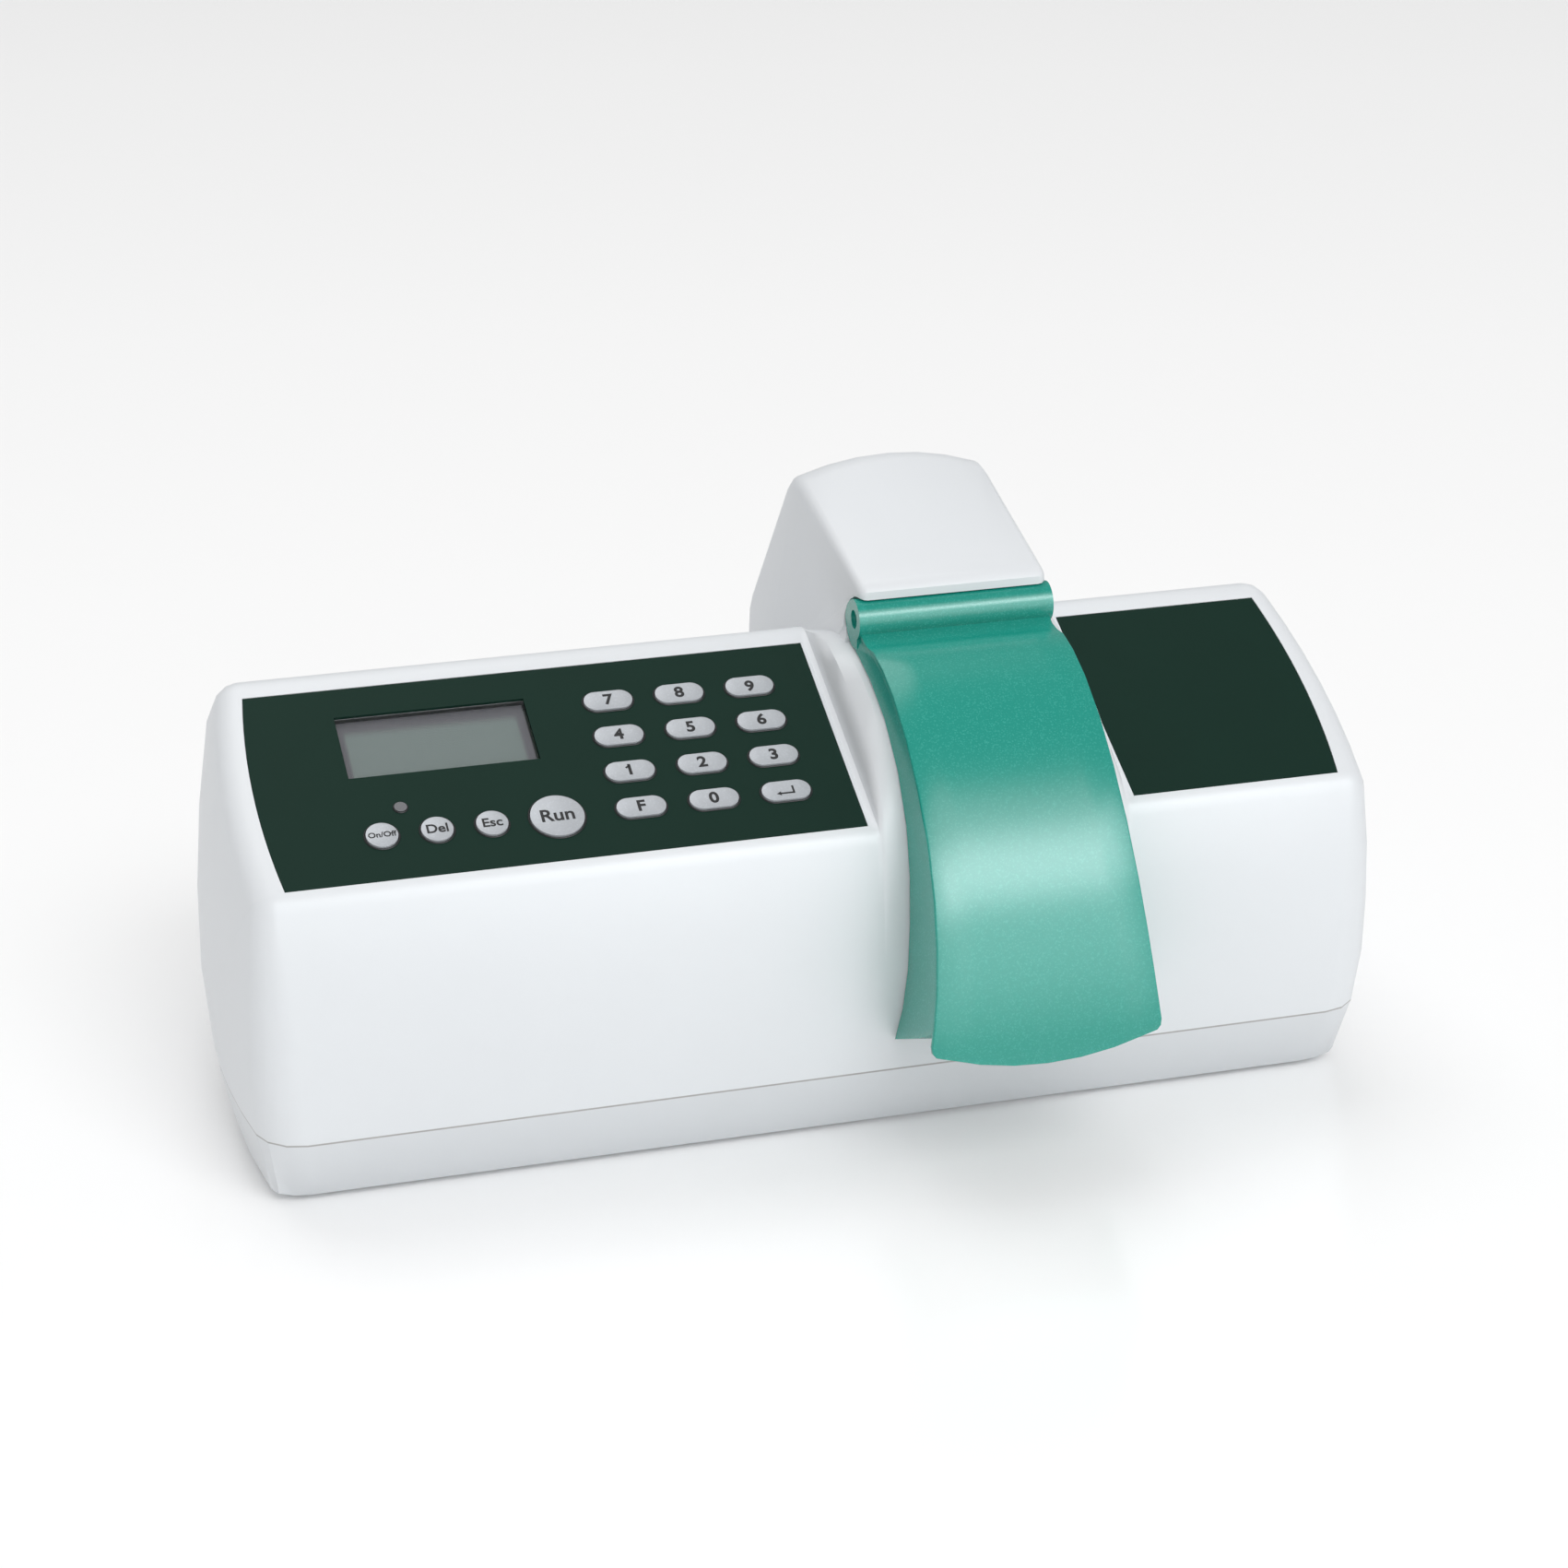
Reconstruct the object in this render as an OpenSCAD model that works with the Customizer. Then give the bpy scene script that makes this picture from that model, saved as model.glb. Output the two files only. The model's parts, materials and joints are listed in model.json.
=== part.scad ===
// Automated cell counter: a bench instrument in two moulded housings, with a sloping control
// panel on the left, and on the right a hinged cover over the bay that takes a sample cassette.
// A tower behind the cover holds the motor that drives the cassette's piston, and a small
// fluorescence microscope looks up at the bay from inside.
//
// x runs from left to right from the middle of the body, y from front to back, z up from the
// bench. Inside this file y is counted from the front of the cover, and centred() moves the
// model so that the origin is under the middle of its box.

/* [Body] */
// Width across the bulging ends
body_w = 381; // [370:0.1:390]
// Depth from the front of the cover to the rear wall
body_depth = 230; // [224:1:240]
// Height of the rubber feet below the lower housing
foot_h = 1; // [1:0.1:2]
// Height of the line where the two housings meet
parting_z = 25.8; // [24:0.2:28]
// Wall thickness of both housings
wall = 3; // [2.6:0.1:3.4]
// Distance from the front of the cover back to the belly of the front wall
belly_y = 38.1; // [36:0.1:40]
// Height of the belly of the front wall
belly_z = 59; // [54:1:64]
// Radius of the bowed front wall, seen from the side
front_bow_r = 170; // [150:5:200]
// Height of the middle of the bulging ends
end_z = 52.6; // [46:0.2:60]
// Radius of the bulging ends, seen from above
end_plan_r = 303; // [280:1:340]
// Radius of the bulging ends above their middle, seen from the front
end_upper_r = 389; // [350:1:430]
// Radius of the bulging ends below their middle, seen from the front
end_lower_r = 179; // [160:1:220]
// Rounding of the upright front corners
corner_r = 12; // [9:0.5:13]
// Rounding of the top edges of the ends
edge_r = 6.4; // [5:0.1:6.5]
// Height of the knee between the sloping rear deck and the rear wall
rear_knee_z = 84; // [78:1:90]
// Distance that the bottom edge lies behind the parting line at the front
chin_run = 11.8; // [10:0.1:15]

/* [Control panel] */
// Slope of the panel face
panel_slope = 24; // [22:0.5:26]
// Distance back to the lower edge of the panel
panel_low_y = 47.7; // [46:0.1:49]
// Height of the lower edge of the panel
panel_low_z = 109.1; // [107:0.1:111]
// Length of the panel up the slope
panel_len = 83.6; // [80:0.1:86]
// Half of the width across both outer corners of the panels
panel_half_w = 171.7; // [168:0.1:173]
// How far the outer edges of the panels bow outwards
panel_bow = 3.1; // [2:0.1:3.6]
// Gap between each panel and the middle of the cover
panel_gap = 44.5; // [43.5:0.1:46]
// Thickness of the panel overlays
overlay_t = 1; // [0.8:0.1:1.2]
// Clearance around the overlays in their recesses
overlay_clear = 0.2; // [0.1:0.05:0.3]

/* [Keys] */
// Spacing of the number keys along a row
key_pitch_x = 23.5; // [22.5:0.1:24]
// Spacing of the rows of number keys
key_pitch_y = 15.8; // [15:0.1:16.5]
// Middle of the left column of number keys
key_left_x = -57; // [-58:0.1:-56]
// Distance of the bottom row of keys up the slope
key_row_y = 18.5; // [17.5:0.1:20]
// Length of an oval key
key_len = 16.4; // [15:0.1:17]
// Width of an oval key
key_w = 8.6; // [8:0.1:9]
// Diameter of the run key
run_d = 17.6; // [16:0.1:18.5]
// Middle of the run key
run_x = -83.8; // [-84.5:0.1:-83]
// Diameter of the small round keys
small_key_d = 10.6; // [9.6:0.1:11.4]
// Middle of the first small round key
small_key_x = -104.4; // [-105:0.1:-104]
// Spacing of the small round keys
small_key_pitch = 17.2; // [16.8:0.1:17.6]
// Height of the keys above the overlay
key_proud = 0.8; // [0.6:0.1:1]
// Travel of the keys
key_travel = 0.6; // [0.4:0.1:0.7]
// Clearance around the keys in the overlay
key_clear = 0.3; // [0.2:0.05:0.4]

/* [Display] */
// Width of the display window
lcd_w = 61; // [58:0.5:63]
// Height of the display window up the slope
lcd_h = 27; // [25:0.5:29]
// Left edge of the display window
lcd_x = -144.7; // [-147:0.1:-144]
// Lower edge of the display window up the slope
lcd_y = 44.1; // [43:0.1:46]
// Diameter of the status lamp
lamp_d = 4; // [3:0.5:5]
// Place of the status lamp across the panel
lamp_x = -131; // [-133:0.5:-129]
// Place of the status lamp up the slope
lamp_y = 29.6; // [28:0.1:32]

/* [Cover and tower] */
// Place of the middle of the cover across the body
lid_x = 56.5; // [54:0.5:59]
// Distance back to the hinge of the cover
hinge_y = 102; // [101:0.1:103]
// Height of the hinge of the cover
hinge_z = 157.8; // [157:0.1:159]
// Radius of the hinge barrel
barrel_r = 6.6; // [6.4:0.1:7]
// Diameter of the hinge pin
pin_d = 4; // [3:0.2:5]
// Running clearance on the hinge pin, on the radius
pin_clear = 0.05; // [0.03:0.01:0.08]
// Wall thickness of the cover
lid_wall = 2.2; // [1.8:0.1:2.6]
// Half width of the cover at the hinge
lid_top_half = 32.2; // [31.5:0.1:32.4]
// Half width of the cover at its bottom edge
lid_low_half = 38.6; // [36:0.1:39]
// Gap between the edges of the cover and the body
lid_gap = 1; // [0.8:0.1:1.4]
// Half width of the raised saddle under the cover
saddle_half = 41.5; // [40:0.1:42.5]
// Width of the rounded shoulder of the saddle
shoulder_w = 6.5; // [5:0.1:7.5]
// Half width of the tower
tower_half = 33.6; // [32:0.1:34]
// Height of the ridge of the tower at its sides
ridge_z = 185.5; // [180:0.1:187]
// Distance back to the ridge of the tower
ridge_y = 174; // [168:0.5:176]
// How far the tower's face bows up in the middle
tower_crown = 6.6; // [4:0.1:8]
// Height of the knee at the rear of the tower
tower_knee_z = 119; // [112:0.5:125]
// Rounding of the tower's edges
tower_edge_r = 3; // [2:0.1:3.4]

/* [Cassette bay and drive] */
// Distance back to the lower end of the bay floor
bay_y = 50; // [49:0.5:51]
// Height of the lower end of the bay floor
bay_z = 109; // [108:0.5:110]
// Width of the channel that takes the cassette
bay_w = 31; // [28:0.5:33]
// Length of the bay floor
bay_len = 52; // [50:0.5:54]
// Wall thickness of the bay tray
tray_wall = 2.5; // [2:0.1:3]
// Height of the plunger's axis above the bay floor
axis_h = 5; // [4.5:0.1:5.5]
// Diameter of the plunger tube
plunger_d = 8; // [7:0.5:9]
// Travel of the plunger
plunger_travel = 18; // [12:1:20]
// Diameter of the lead screw
screw_d = 5; // [4:0.5:5]
// Width of the square stepper motor
motor_w = 28; // [24:1:28]
// Length of the stepper motor
motor_len = 30; // [24:1:31]
// Diameter of the guide rods
rod_d = 4; // [3:0.5:4]
// Spacing of the guide rods
rod_pitch = 20; // [18:1:20]
// Sheet thickness of the chassis
sheet = 2; // [1.5:0.1:2.5]
// Diameter of the lens barrel
barrel_d = 24; // [20:1:26]
// Length of the lens barrel
barrel_len = 34; // [28:1:38]

/* [Electronics and base] */
// Thickness of the circuit boards
board_t = 1.6; // [1.2:0.1:2]
// Width of the main board
board_w = 150; // [130:5:160]
// Depth of the main board
board_depth = 90; // [80:1:92]
// Height of the top of the main board's posts
post_z = 28; // [27:0.5:30]
// Diameter of the rubber feet
foot_d = 16; // [12:1:18]
// Depth of the pockets that hold the rubber feet
foot_seat = 1; // [0.6:0.1:1.5]
// Thread diameter of the base screws
base_screw_d = 4; // [3:0.5:4]
// Diameter of the screw bosses
boss_d = 10; // [9:0.5:12]
// Thread diameter of the board screws
board_screw_d = 3; // [2.5:0.5:3]
// General clearance between pieces that are pushed together
fit = 0.2; // [0.1:0.05:0.25]

/* [Hidden] */
eps = 0.01;
white_plastic = "#e9edf0";
grey_plastic = "#d6dadd";
cover_green = "#3aa193";
panel_green = "#213630";

// ---- helpers ----

function lerp(a, b, t) = a + (b - a) * t;
function clamp01(t) = min(1, max(0, t));
function unit(v) = v / norm(v);
// Points of a curve bent from a to b towards c, without a itself
function bend(a, c, b, n) =
    [for (i = [1:n]) let (t = i / n) (1 - t) * (1 - t) * a + 2 * t * (1 - t) * c + t * t * b];
// One point of a cubic curve
function cubic(p, t) =
    pow(1 - t, 3) * p[0] + 3 * t * pow(1 - t, 2) * p[1] + 3 * t * t * (1 - t) * p[2] + pow(t, 3) * p[3];
// Points along the straight line from a to b, without a itself
function line(a, b, n) = [for (i = [1:n]) lerp(a, b, i / n)];
// The outward direction at point i of a side profile that runs from front to back over the top
function outward(p, i) =
    i == 0 ? [-1, 0]
    : i == len(p) - 1 ? [1, 0]
    : let (d = unit(p[i + 1] - p[i - 1])) [-d[1], d[0]];
// A profile moved inwards by d, or by the amounts in a list
function inset(p, d) =
    [for (i = [0:len(p) - 1]) p[i] - outward(p, i) * (is_list(d) ? d[i] : d)];

// A closed solid from open curves side by side, each from front to back, all ending on one plane.
// rows is a list of curves of points; first and last are the middle points of the two ends.
module dome(rows, first, last) {
    m = len(rows);
    n = len(rows[0]);
    pts = concat([for (r = rows) each r], [first, last]);
    skin = [for (i = [0:m - 2], j = [0:n - 2]) let (a = i * n + j, b = a + n)
            each [[a, a + 1, b + 1], [a, b + 1, b]]];
    left_cap = [for (j = [0:n - 2]) [m * n, j + 1, j]];
    right_cap = [for (j = [0:n - 2]) [m * n + 1, (m - 1) * n + j, (m - 1) * n + j + 1]];
    base = [concat([m * n], [for (i = [0:m - 1]) i * n], [m * n + 1],
                   [for (i = [m - 1:-1:0]) i * n + n - 1])];
    polyhedron(pts, concat(skin, left_cap, right_cap, base), convexity = 10);
}

// ---- the body's outline ----

centre_y = (belly_y + body_depth) / 2 - 29;   // middle of the ends, seen from above
half_w = body_w / 2;
deck_mid_y = 120;                               // where the ends' curves run together
slope_dir = [cos(panel_slope), sin(panel_slope)];
panel_low = [panel_low_y, panel_low_z];
panel_top = panel_low + panel_len * slope_dir;
slope_tan = tan(panel_slope);
rim_run = 3.5;                                  // flat rim behind the panels
rim_corner = 8.2;                               // from the panels to the corner of the rim
deck_corner = panel_top + rim_corner * [1, slope_tan];
rear_y = body_depth;
knee_corner = [rear_y, rear_knee_z];
knee_bend = 12;

function front_y(z) = belly_y + pow(z - belly_z, 2) / (2 * front_bow_r);
// Half width of the body at a point of its side profile
function end_x(y, z, t = 0) =
    half_w - t - pow(y - centre_y, 2) / (2 * end_plan_r)
    - pow(z - end_z, 2) / (2 * (z > end_z ? end_upper_r : end_lower_r));

// Side profile of the plain body, from the parting line over the top to the parting line
front_top = [front_y(panel_low_z - 5.6), panel_low_z - 5.6];
front_corner = [front_y(panel_low_z - 1.2), panel_low_z - 1.2];
rim_start = panel_top + rim_run * [1, slope_tan];
deck_start = deck_corner + 8 * unit(knee_corner - deck_corner);
deck_end = knee_corner - knee_bend * unit(knee_corner - deck_corner);
plain = concat(
    [for (i = [0:4]) let (z = lerp(parting_z, front_top[1], i / 4)) [front_y(z), z]],
    bend(front_top, front_corner, panel_low, 3),
    line(panel_low, rim_start, 6),
    bend(rim_start, deck_corner, deck_start, 5),
    line(deck_start, deck_end, 4),
    bend(deck_end, knee_corner, [rear_y, rear_knee_z - knee_bend], 4),
    line([rear_y, rear_knee_z - knee_bend], [rear_y, parting_z], 2));
last = len(plain) - 1;

// Side profile over the saddle: the same front and rear walls, with a high curved back
saddle_curve = [[belly_y + 2.2, 85], [belly_y + 2.4, 118], [66, 143.5], [hinge_y + 6, hinge_z - 9.8]];
saddle_first = 3;
saddle_last = 13;
saddle_merge = 9;                               // points on which the saddle runs out behind its top
saddle = [for (i = [0:last])
    i < saddle_first ? plain[i]
    : i <= saddle_last ? cubic(saddle_curve, (i - saddle_first + 0.6) / (saddle_last - saddle_first + 0.6))
    : i <= saddle_last + saddle_merge ? let (t = (i - saddle_last) / saddle_merge,
        a = (1 - t) * (1 - t) * saddle_curve[3], b = 2 * t * (1 - t) * (deck_corner + [2, 6]))
        a + b + t * t * plain[saddle_last + saddle_merge]
    : plain[i]];

// Side profile over the tower
ridge = [ridge_y, ridge_z];
tower_knee = [rear_y, tower_knee_z];
lip = [hinge_y - 2.4, hinge_z + 6.8];            // lower front edge of the lip over the hinge
lip_end = lip + [4.4, 5.6];
face_start = lip_end + [8, 1.8];
face_dir = unit(ridge - face_start);
fall_dir = unit(tower_knee - ridge);
tower_line = concat(
    [saddle_curve[3] + [1.2, 6]],
    [lip],
    bend(lip, lip + [-1.4, 4.8], lip_end, 3),
    [face_start, ridge - 10 * face_dir],
    bend(ridge - 10 * face_dir, ridge, ridge + 9 * fall_dir, 3),
    [tower_knee - 8 * fall_dir],
    bend(tower_knee - 8 * fall_dir, tower_knee, tower_knee - [0, 8], 2),
    [plain[last - 1]]);
tower = concat([for (i = [0:saddle_last]) saddle[i]], tower_line, [plain[last]]);
// The tower is narrower at its front: its share of the full width at each point
lip_share = 0.946;
function narrow(i) = lerp(lip_share, 1, clamp01((tower[i][0] - lip[0]) / (ridge_y - lip[0])));
function across_at(d) = [for (i = [0:last]) d * narrow(i)];
// Where the tower's rounded sides and crowned face take effect along its profile
function tower_edge(i) = i > saddle_last + 1 && i < last - 1 ? 1 : 0;
function crown(i) = let (p = tower[i])
    i <= saddle_last + 5 ? 0
    : p[0] < ridge_y ? clamp01((p[0] - face_start[0]) / (ridge_y - 12 - face_start[0]))
    : i >= last - 2 ? 0 : lerp(0.4, 1, clamp01((p[1] - tower_knee_z) / (ridge_z - tower_knee_z)));

// Rounding between the side profile and the ends, at each point of a profile
function end_rounding(p, t) =
    [for (q = p) max(1, lerp(corner_r, edge_r, q[0] < 60 ? clamp01((q[1] - 60) / 45) : 1) - t)];
// A profile set up at place x from the middle of the cover, or at a place for each point
function at_x(p, x) = [for (i = [0:len(p) - 1]) [lid_x + (is_list(x) ? x[i] : x), p[i][0], p[i][1]]];
// One end of the body: rings that round over from the side profile p to the bulging end
function end_ring(p, r, t, side, a) =
    let (q = inset(p, [for (rj = r) rj * (1 - cos(a))]))
    [for (j = [0:len(q) - 1]) [side * (end_x(q[j][0], q[j][1], t) - r[j] * (1 - sin(a))), q[j][0], q[j][1]]];
function end_disc(p, r, t, side, s, plane_z) =
    let (q = inset(p, r))
    [for (w = q) let (c = lerp(w, [deck_mid_y, plane_z], s)) [side * end_x(c[0], c[1], t), c[0], c[1]]];
function left_end(p, r, t, angles, shares, z) = concat(
    [for (s = shares) end_disc(p, r, t, -1, s, z)], [for (a = angles) end_ring(p, r, t, -1, a)]);
function right_end(p, r, t, angles, shares, z) = concat(
    [for (i = [len(angles) - 1:-1:0]) end_ring(p, r, t, 1, angles[i])],
    [for (i = [len(shares) - 1:-1:0]) end_disc(p, r, t, 1, shares[i], z)]);

groove_w = 1.6;                 // groove at the foot of the saddle's shoulder
groove_share = 0.045;
// Curves over the left half of the saddle and tower, from the outside to the middle; t is the
// distance inside the outer surface
function feature_rows(t, shoulder, rounds, across) =
    let (p = inset(plain, t), s = inset(saddle, t), w = inset(tower, t),
         r = max(1, tower_edge_r - t / 2))
    concat(
        t > 0 ? [] : [[-saddle_half - 2 * groove_w, p],
                      [-saddle_half - groove_w, lerp(p, s, -groove_share)]],
        [for (a = shoulder) [-(saddle_half - t - shoulder_w * (1 - cos(a))), lerp(p, s, sin(a))]],
        [[-(tower_half - t + 0.6), s]],
        [for (a = rounds) let (d = tower_half - t - r * (1 - cos(a)))
            [across_at(-d), [for (i = [0:last]) w[i] - outward(w, i) * r * (1 - sin(a)) * tower_edge(i)
                 + [0, tower_crown * crown(i) * (1 - pow(d / tower_half, 2))]]]],
        [for (d = across) [across_at(-d), [for (i = [0:last]) w[i]
            + [0, tower_crown * crown(i) * (1 - pow(d / tower_half, 2))]]]]);

// hollow_points picks the points of the profiles that the hollow inside is drawn through
hollow_points = [0, 2, 4, 6, 7, 9, 11, 13, 16, 18, 20, 22, 24, 26, last];
module upper_form(t, plane_z, angles, shares, shoulder, rounds, across) {
    p = inset(plain, t);
    f = feature_rows(t, shoulder, rounds, across);
    r = end_rounding(plain, t);
    rows = concat(left_end(p, r, t, angles, shares, parting_z),
                  [for (e = f) at_x(e[1], e[0])],
                  [for (i = [len(f) - 2:-1:0]) at_x(f[i][1], -f[i][0])],
                  right_end(p, r, t, angles, shares, parting_z));
    // the curves' ends are set at plane_z, so that the hollow can cut through the rim
    pick = t > 0 ? hollow_points : [0:last];
    set = [for (w = rows) [for (j = pick) j == 0 || j == last ? [w[j][0], w[j][1], plane_z] : w[j]]];
    middle = end_x(deck_mid_y, parting_z, t);
    dome(set, [-middle, deck_mid_y, plane_z], [middle, deck_mid_y, plane_z]);
}
cut_over = 1;
round_angles = [90, 60, 30, 0];
end_shares = [0.75, 0.5, 0.25];
module upper_shell() resize([body_w, 0, 0]) difference() {
    upper_form(0, parting_z, round_angles, end_shares, [0, 25, 50, 90], [0, 30, 60, 90], [20, 10, 0]);
    upper_form(wall, parting_z - cut_over, [90, 45, 0], [0.6], [0, 40, 90], [0, 90], [0]);
}

// ---- lower housing ----

floor_z = foot_h;
floor_rise = 3.2;               // height and run of the rounding between the floor and the ends
floor_run = 12;
chin_foot = [front_y(parting_z) + chin_run, floor_z];
heel_foot = [rear_y - 12, floor_z];
chin_dir = unit(chin_foot - [front_y(parting_z), parting_z]);
heel_dir = unit(heel_foot - [rear_y, parting_z]);
// Side profile of the lower housing, from front to back under the floor
tub = concat(
    [[front_y(parting_z), parting_z]],
    bend(chin_foot - 4 * chin_dir, chin_foot, chin_foot + [4, 0], 3),
    line(chin_foot + [4, 0], heel_foot - [6, 0], 6),
    bend(heel_foot - [6, 0], heel_foot, heel_foot - 6 * heel_dir, 3),
    [[rear_y, parting_z]]);
tub_last = len(tub) - 1;
function tub_rounding(p, t, low) = [for (q = p) max(1, lerp(low,
    q[0] < 80 ? corner_r : edge_r, clamp01((q[1] - floor_z) / (parting_z - floor_z))) - t)];
// The lower housing's outer form turned over, so that the same rings can draw it
module lower_form(t, plane_z, angles, shares) {
    flip = [for (q = tub) [q[0], -q[1]]];
    p = inset(flip, t);
    r = tub_rounding(tub, t, floor_rise);
    run = tub_rounding(tub, t, floor_run);
    ring = [for (side = [-1, 1]) [for (a = angles)
        let (q = inset(p, [for (rj = r) rj * (1 - cos(a))]))
        [for (j = [0:tub_last])
            [side * (end_x(q[j][0], -q[j][1], t) - run[j] * (1 - sin(a))), q[j][0], q[j][1]]]]];
    disc = [for (side = [-1, 1]) [for (s = shares) let (q = inset(p, r))
        [for (w = q) let (c = lerp(w, [deck_mid_y, -parting_z], s))
            [side * end_x(c[0], -c[1], t), c[0], c[1]]]]];
    rows = concat(disc[0], ring[0], [for (i = [len(angles) - 1:-1:0]) ring[1][i]],
                  [for (i = [len(shares) - 1:-1:0]) disc[1][i]]);
    set = [for (w = rows) [for (j = [0:tub_last])
        j == 0 || j == tub_last ? [w[j][0], w[j][1], -plane_z] : w[j]]];
    middle = end_x(deck_mid_y, parting_z, t);
    mirror([0, 0, 1]) dome(set, [-middle, deck_mid_y, -plane_z], [middle, deck_mid_y, -plane_z]);
}
module lower_shell() resize([2 * end_x(centre_y, parting_z), 0, 0]) difference() {
    lower_form(0, parting_z, round_angles, end_shares);
    lower_form(wall, parting_z + cut_over, [90, 45, 0], [0.6]);
}

// ---- frames of reference ----

// From the file's y, counted from the front of the cover, to the origin under the middle
module centred() translate([0, -body_depth / 2, 0]) children();
// The face of the control panel: x across the body, y up the slope, z out of the housing
module on_panel() translate([0, panel_low_y, panel_low_z]) rotate([panel_slope, 0, 0]) children();
// The bay's floor: x from the middle of the cover, y up the slope, z out of the floor
module on_bay() translate([lid_x, bay_y, bay_z]) rotate([panel_slope, 0, 0]) children();
// The hinge axis of the cover: z runs along the axis
module on_hinge() translate([lid_x, hinge_y, hinge_z]) rotate([0, 90, 0]) children();
// Draws a [y, z] outline and gives it a width across the body, centred on x
module across(x, w) translate([x - w / 2, 0, 0]) rotate([90, 0, 90]) linear_extrude(w) children();

// ---- panel layout ----

bow_r = (pow(panel_len / 2, 2) + pow(panel_bow, 2)) / (2 * panel_bow);
// Outline of both panels together, with bowed outer edges
module panel_field(grow) intersection() {
    translate([-panel_half_w - panel_bow - grow, -grow])
        square([2 * (panel_half_w + panel_bow + grow), panel_len + 2 * grow]);
    translate([panel_half_w + panel_bow - bow_r, panel_len / 2]) circle(bow_r + grow, $fn = 180);
    translate([-panel_half_w - panel_bow + bow_r, panel_len / 2]) circle(bow_r + grow, $fn = 180);
}
module left_field(grow) intersection() {
    panel_field(grow);
    translate([-half_w, -half_w]) square([half_w + lid_x - panel_gap + grow, body_w]);
}
module right_field(grow) intersection() {
    panel_field(grow);
    translate([lid_x + panel_gap - grow, -half_w]) square([half_w, body_w]);
}
recess = overlay_t + 0.1;
function grid_place(col, row) = [key_left_x + col * key_pitch_x, key_row_y + row * key_pitch_y];
// Place of number key d: the zero lies in the bottom row, under the two
function digit_place(d) = d == 0 ? grid_place(1, 0) : grid_place((d - 1) % 3, 1 + floor((d - 1) / 3));
function small_place(i) = [small_key_x - i * small_key_pitch, key_row_y];
module oval(l, w, grow = 0) {
    for (side = [-1, 1]) translate([side * (l - w) / 2, 0]) circle(w / 2 + grow, $fn = 48);
    square([l - w, w + 2 * grow], center = true);
}
module all_ovals(grow) for (col = [0:2], row = [0:3])
    translate(grid_place(col, row)) oval(key_len, key_w, grow);
module all_rounds(grow) {
    translate([run_x, key_row_y]) circle(run_d / 2 + grow, $fn = 60);
    for (i = [0:2]) translate(small_place(i)) circle(small_key_d / 2 + grow, $fn = 48);
}
// Openings in the housing below the overlay
ledge = 3;
module key_openings() {
    translate(grid_place(0, 0) - [key_len / 2 + ledge, key_w / 2 + ledge])
        square([2 * key_pitch_x + key_len + 2 * ledge, 3 * key_pitch_y + key_w + 2 * ledge]);
    translate([small_place(2)[0] - small_key_d / 2 - ledge, key_row_y - run_d / 2 - ledge / 3])
        square([run_x + run_d / 2 - small_place(2)[0] + small_key_d / 2 + 1.5 * ledge, run_d + ledge]);
    translate([lcd_x - ledge / 2, lcd_y - ledge / 2]) square([lcd_w + ledge, lcd_h + ledge]);
    translate([lamp_x, lamp_y]) circle(lamp_d / 2 + 1, $fn = 32);
}

// ---- keypad ----

board_depth_below = 9;      // face of the keypad board under the top of the overlay
overlay_top = -0.1;
board_top = overlay_top - board_depth_below;
flange_t = 1;
flange_w = 0.8;
switch_h = 3;
key_foot = board_top + switch_h + key_travel + 0.2;
// A key: cap through the overlay, flange that stops it from below, and a stem to its switch
module key_body(place) centred() on_panel() translate([place[0], place[1], 0]) {
    translate([0, 0, overlay_top - overlay_t - 0.2]) linear_extrude(overlay_t + 0.2 + key_proud) children(0);
    translate([0, 0, overlay_top - overlay_t - 0.2 - flange_t]) linear_extrude(flange_t) children(1);
    stem_top = overlay_top - overlay_t - 0.2 - flange_t;
    translate([0, 0, key_foot]) cylinder(h = stem_top - key_foot, d = 3.4, $fn = 24);
}
module oval_key(place) color("#b4bac0") key_body(place) {
    oval(key_len, key_w, -key_clear);
    oval(key_len, key_w, flange_w);
}
module round_key(place, d) color("#b4bac0") key_body(place) {
    circle(d / 2 - key_clear, $fn = 48);
    circle(d / 2 + flange_w, $fn = 48);
}
module control_panel() color(panel_green) centred() on_panel()
    translate([0, 0, overlay_top - overlay_t]) linear_extrude(overlay_t) difference() {
        left_field(-overlay_clear);
        all_ovals(0);
        all_rounds(0);
        translate([lcd_x, lcd_y]) square([lcd_w, lcd_h]);
        translate([lamp_x, lamp_y]) circle(lamp_d / 2 + 0.1, $fn = 32);
    }
module right_plate() color(panel_green) centred() on_panel()
    translate([0, 0, overlay_top - overlay_t]) linear_extrude(overlay_t) right_field(-overlay_clear);
window_t = 1.5;
module display_window() color("#9fb0b0", 0.6) centred() on_panel()
    translate([lcd_x + overlay_clear, lcd_y + overlay_clear, overlay_top - 0.6 - window_t])
        cube([lcd_w - 2 * overlay_clear, lcd_h - 2 * overlay_clear, window_t]);
module display_module() color("#71807f") centred() on_panel() {
    glass_top = overlay_top - 0.6 - window_t - 0.3;
    translate([lcd_x + 0.5, lcd_y + 0.5, board_top + 1])
        cube([lcd_w - 1, lcd_h - 1, glass_top - board_top - 1]);
    translate([lcd_x - 1, lcd_y - 1, board_top + 0.1]) cube([lcd_w + 2, lcd_h + 2, board_t]);
}
board_edge = 10;
board_x0 = lcd_x - board_edge;
board_x1 = key_left_x + 2 * key_pitch_x + key_len / 2 + board_edge;
board_y0 = key_row_y - run_d / 2 - 3;
board_y1 = lcd_y + lcd_h + 4;
post_in = 3.4;
between_x = (lcd_x + lcd_w + key_left_x - key_len / 2) / 2;
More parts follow.
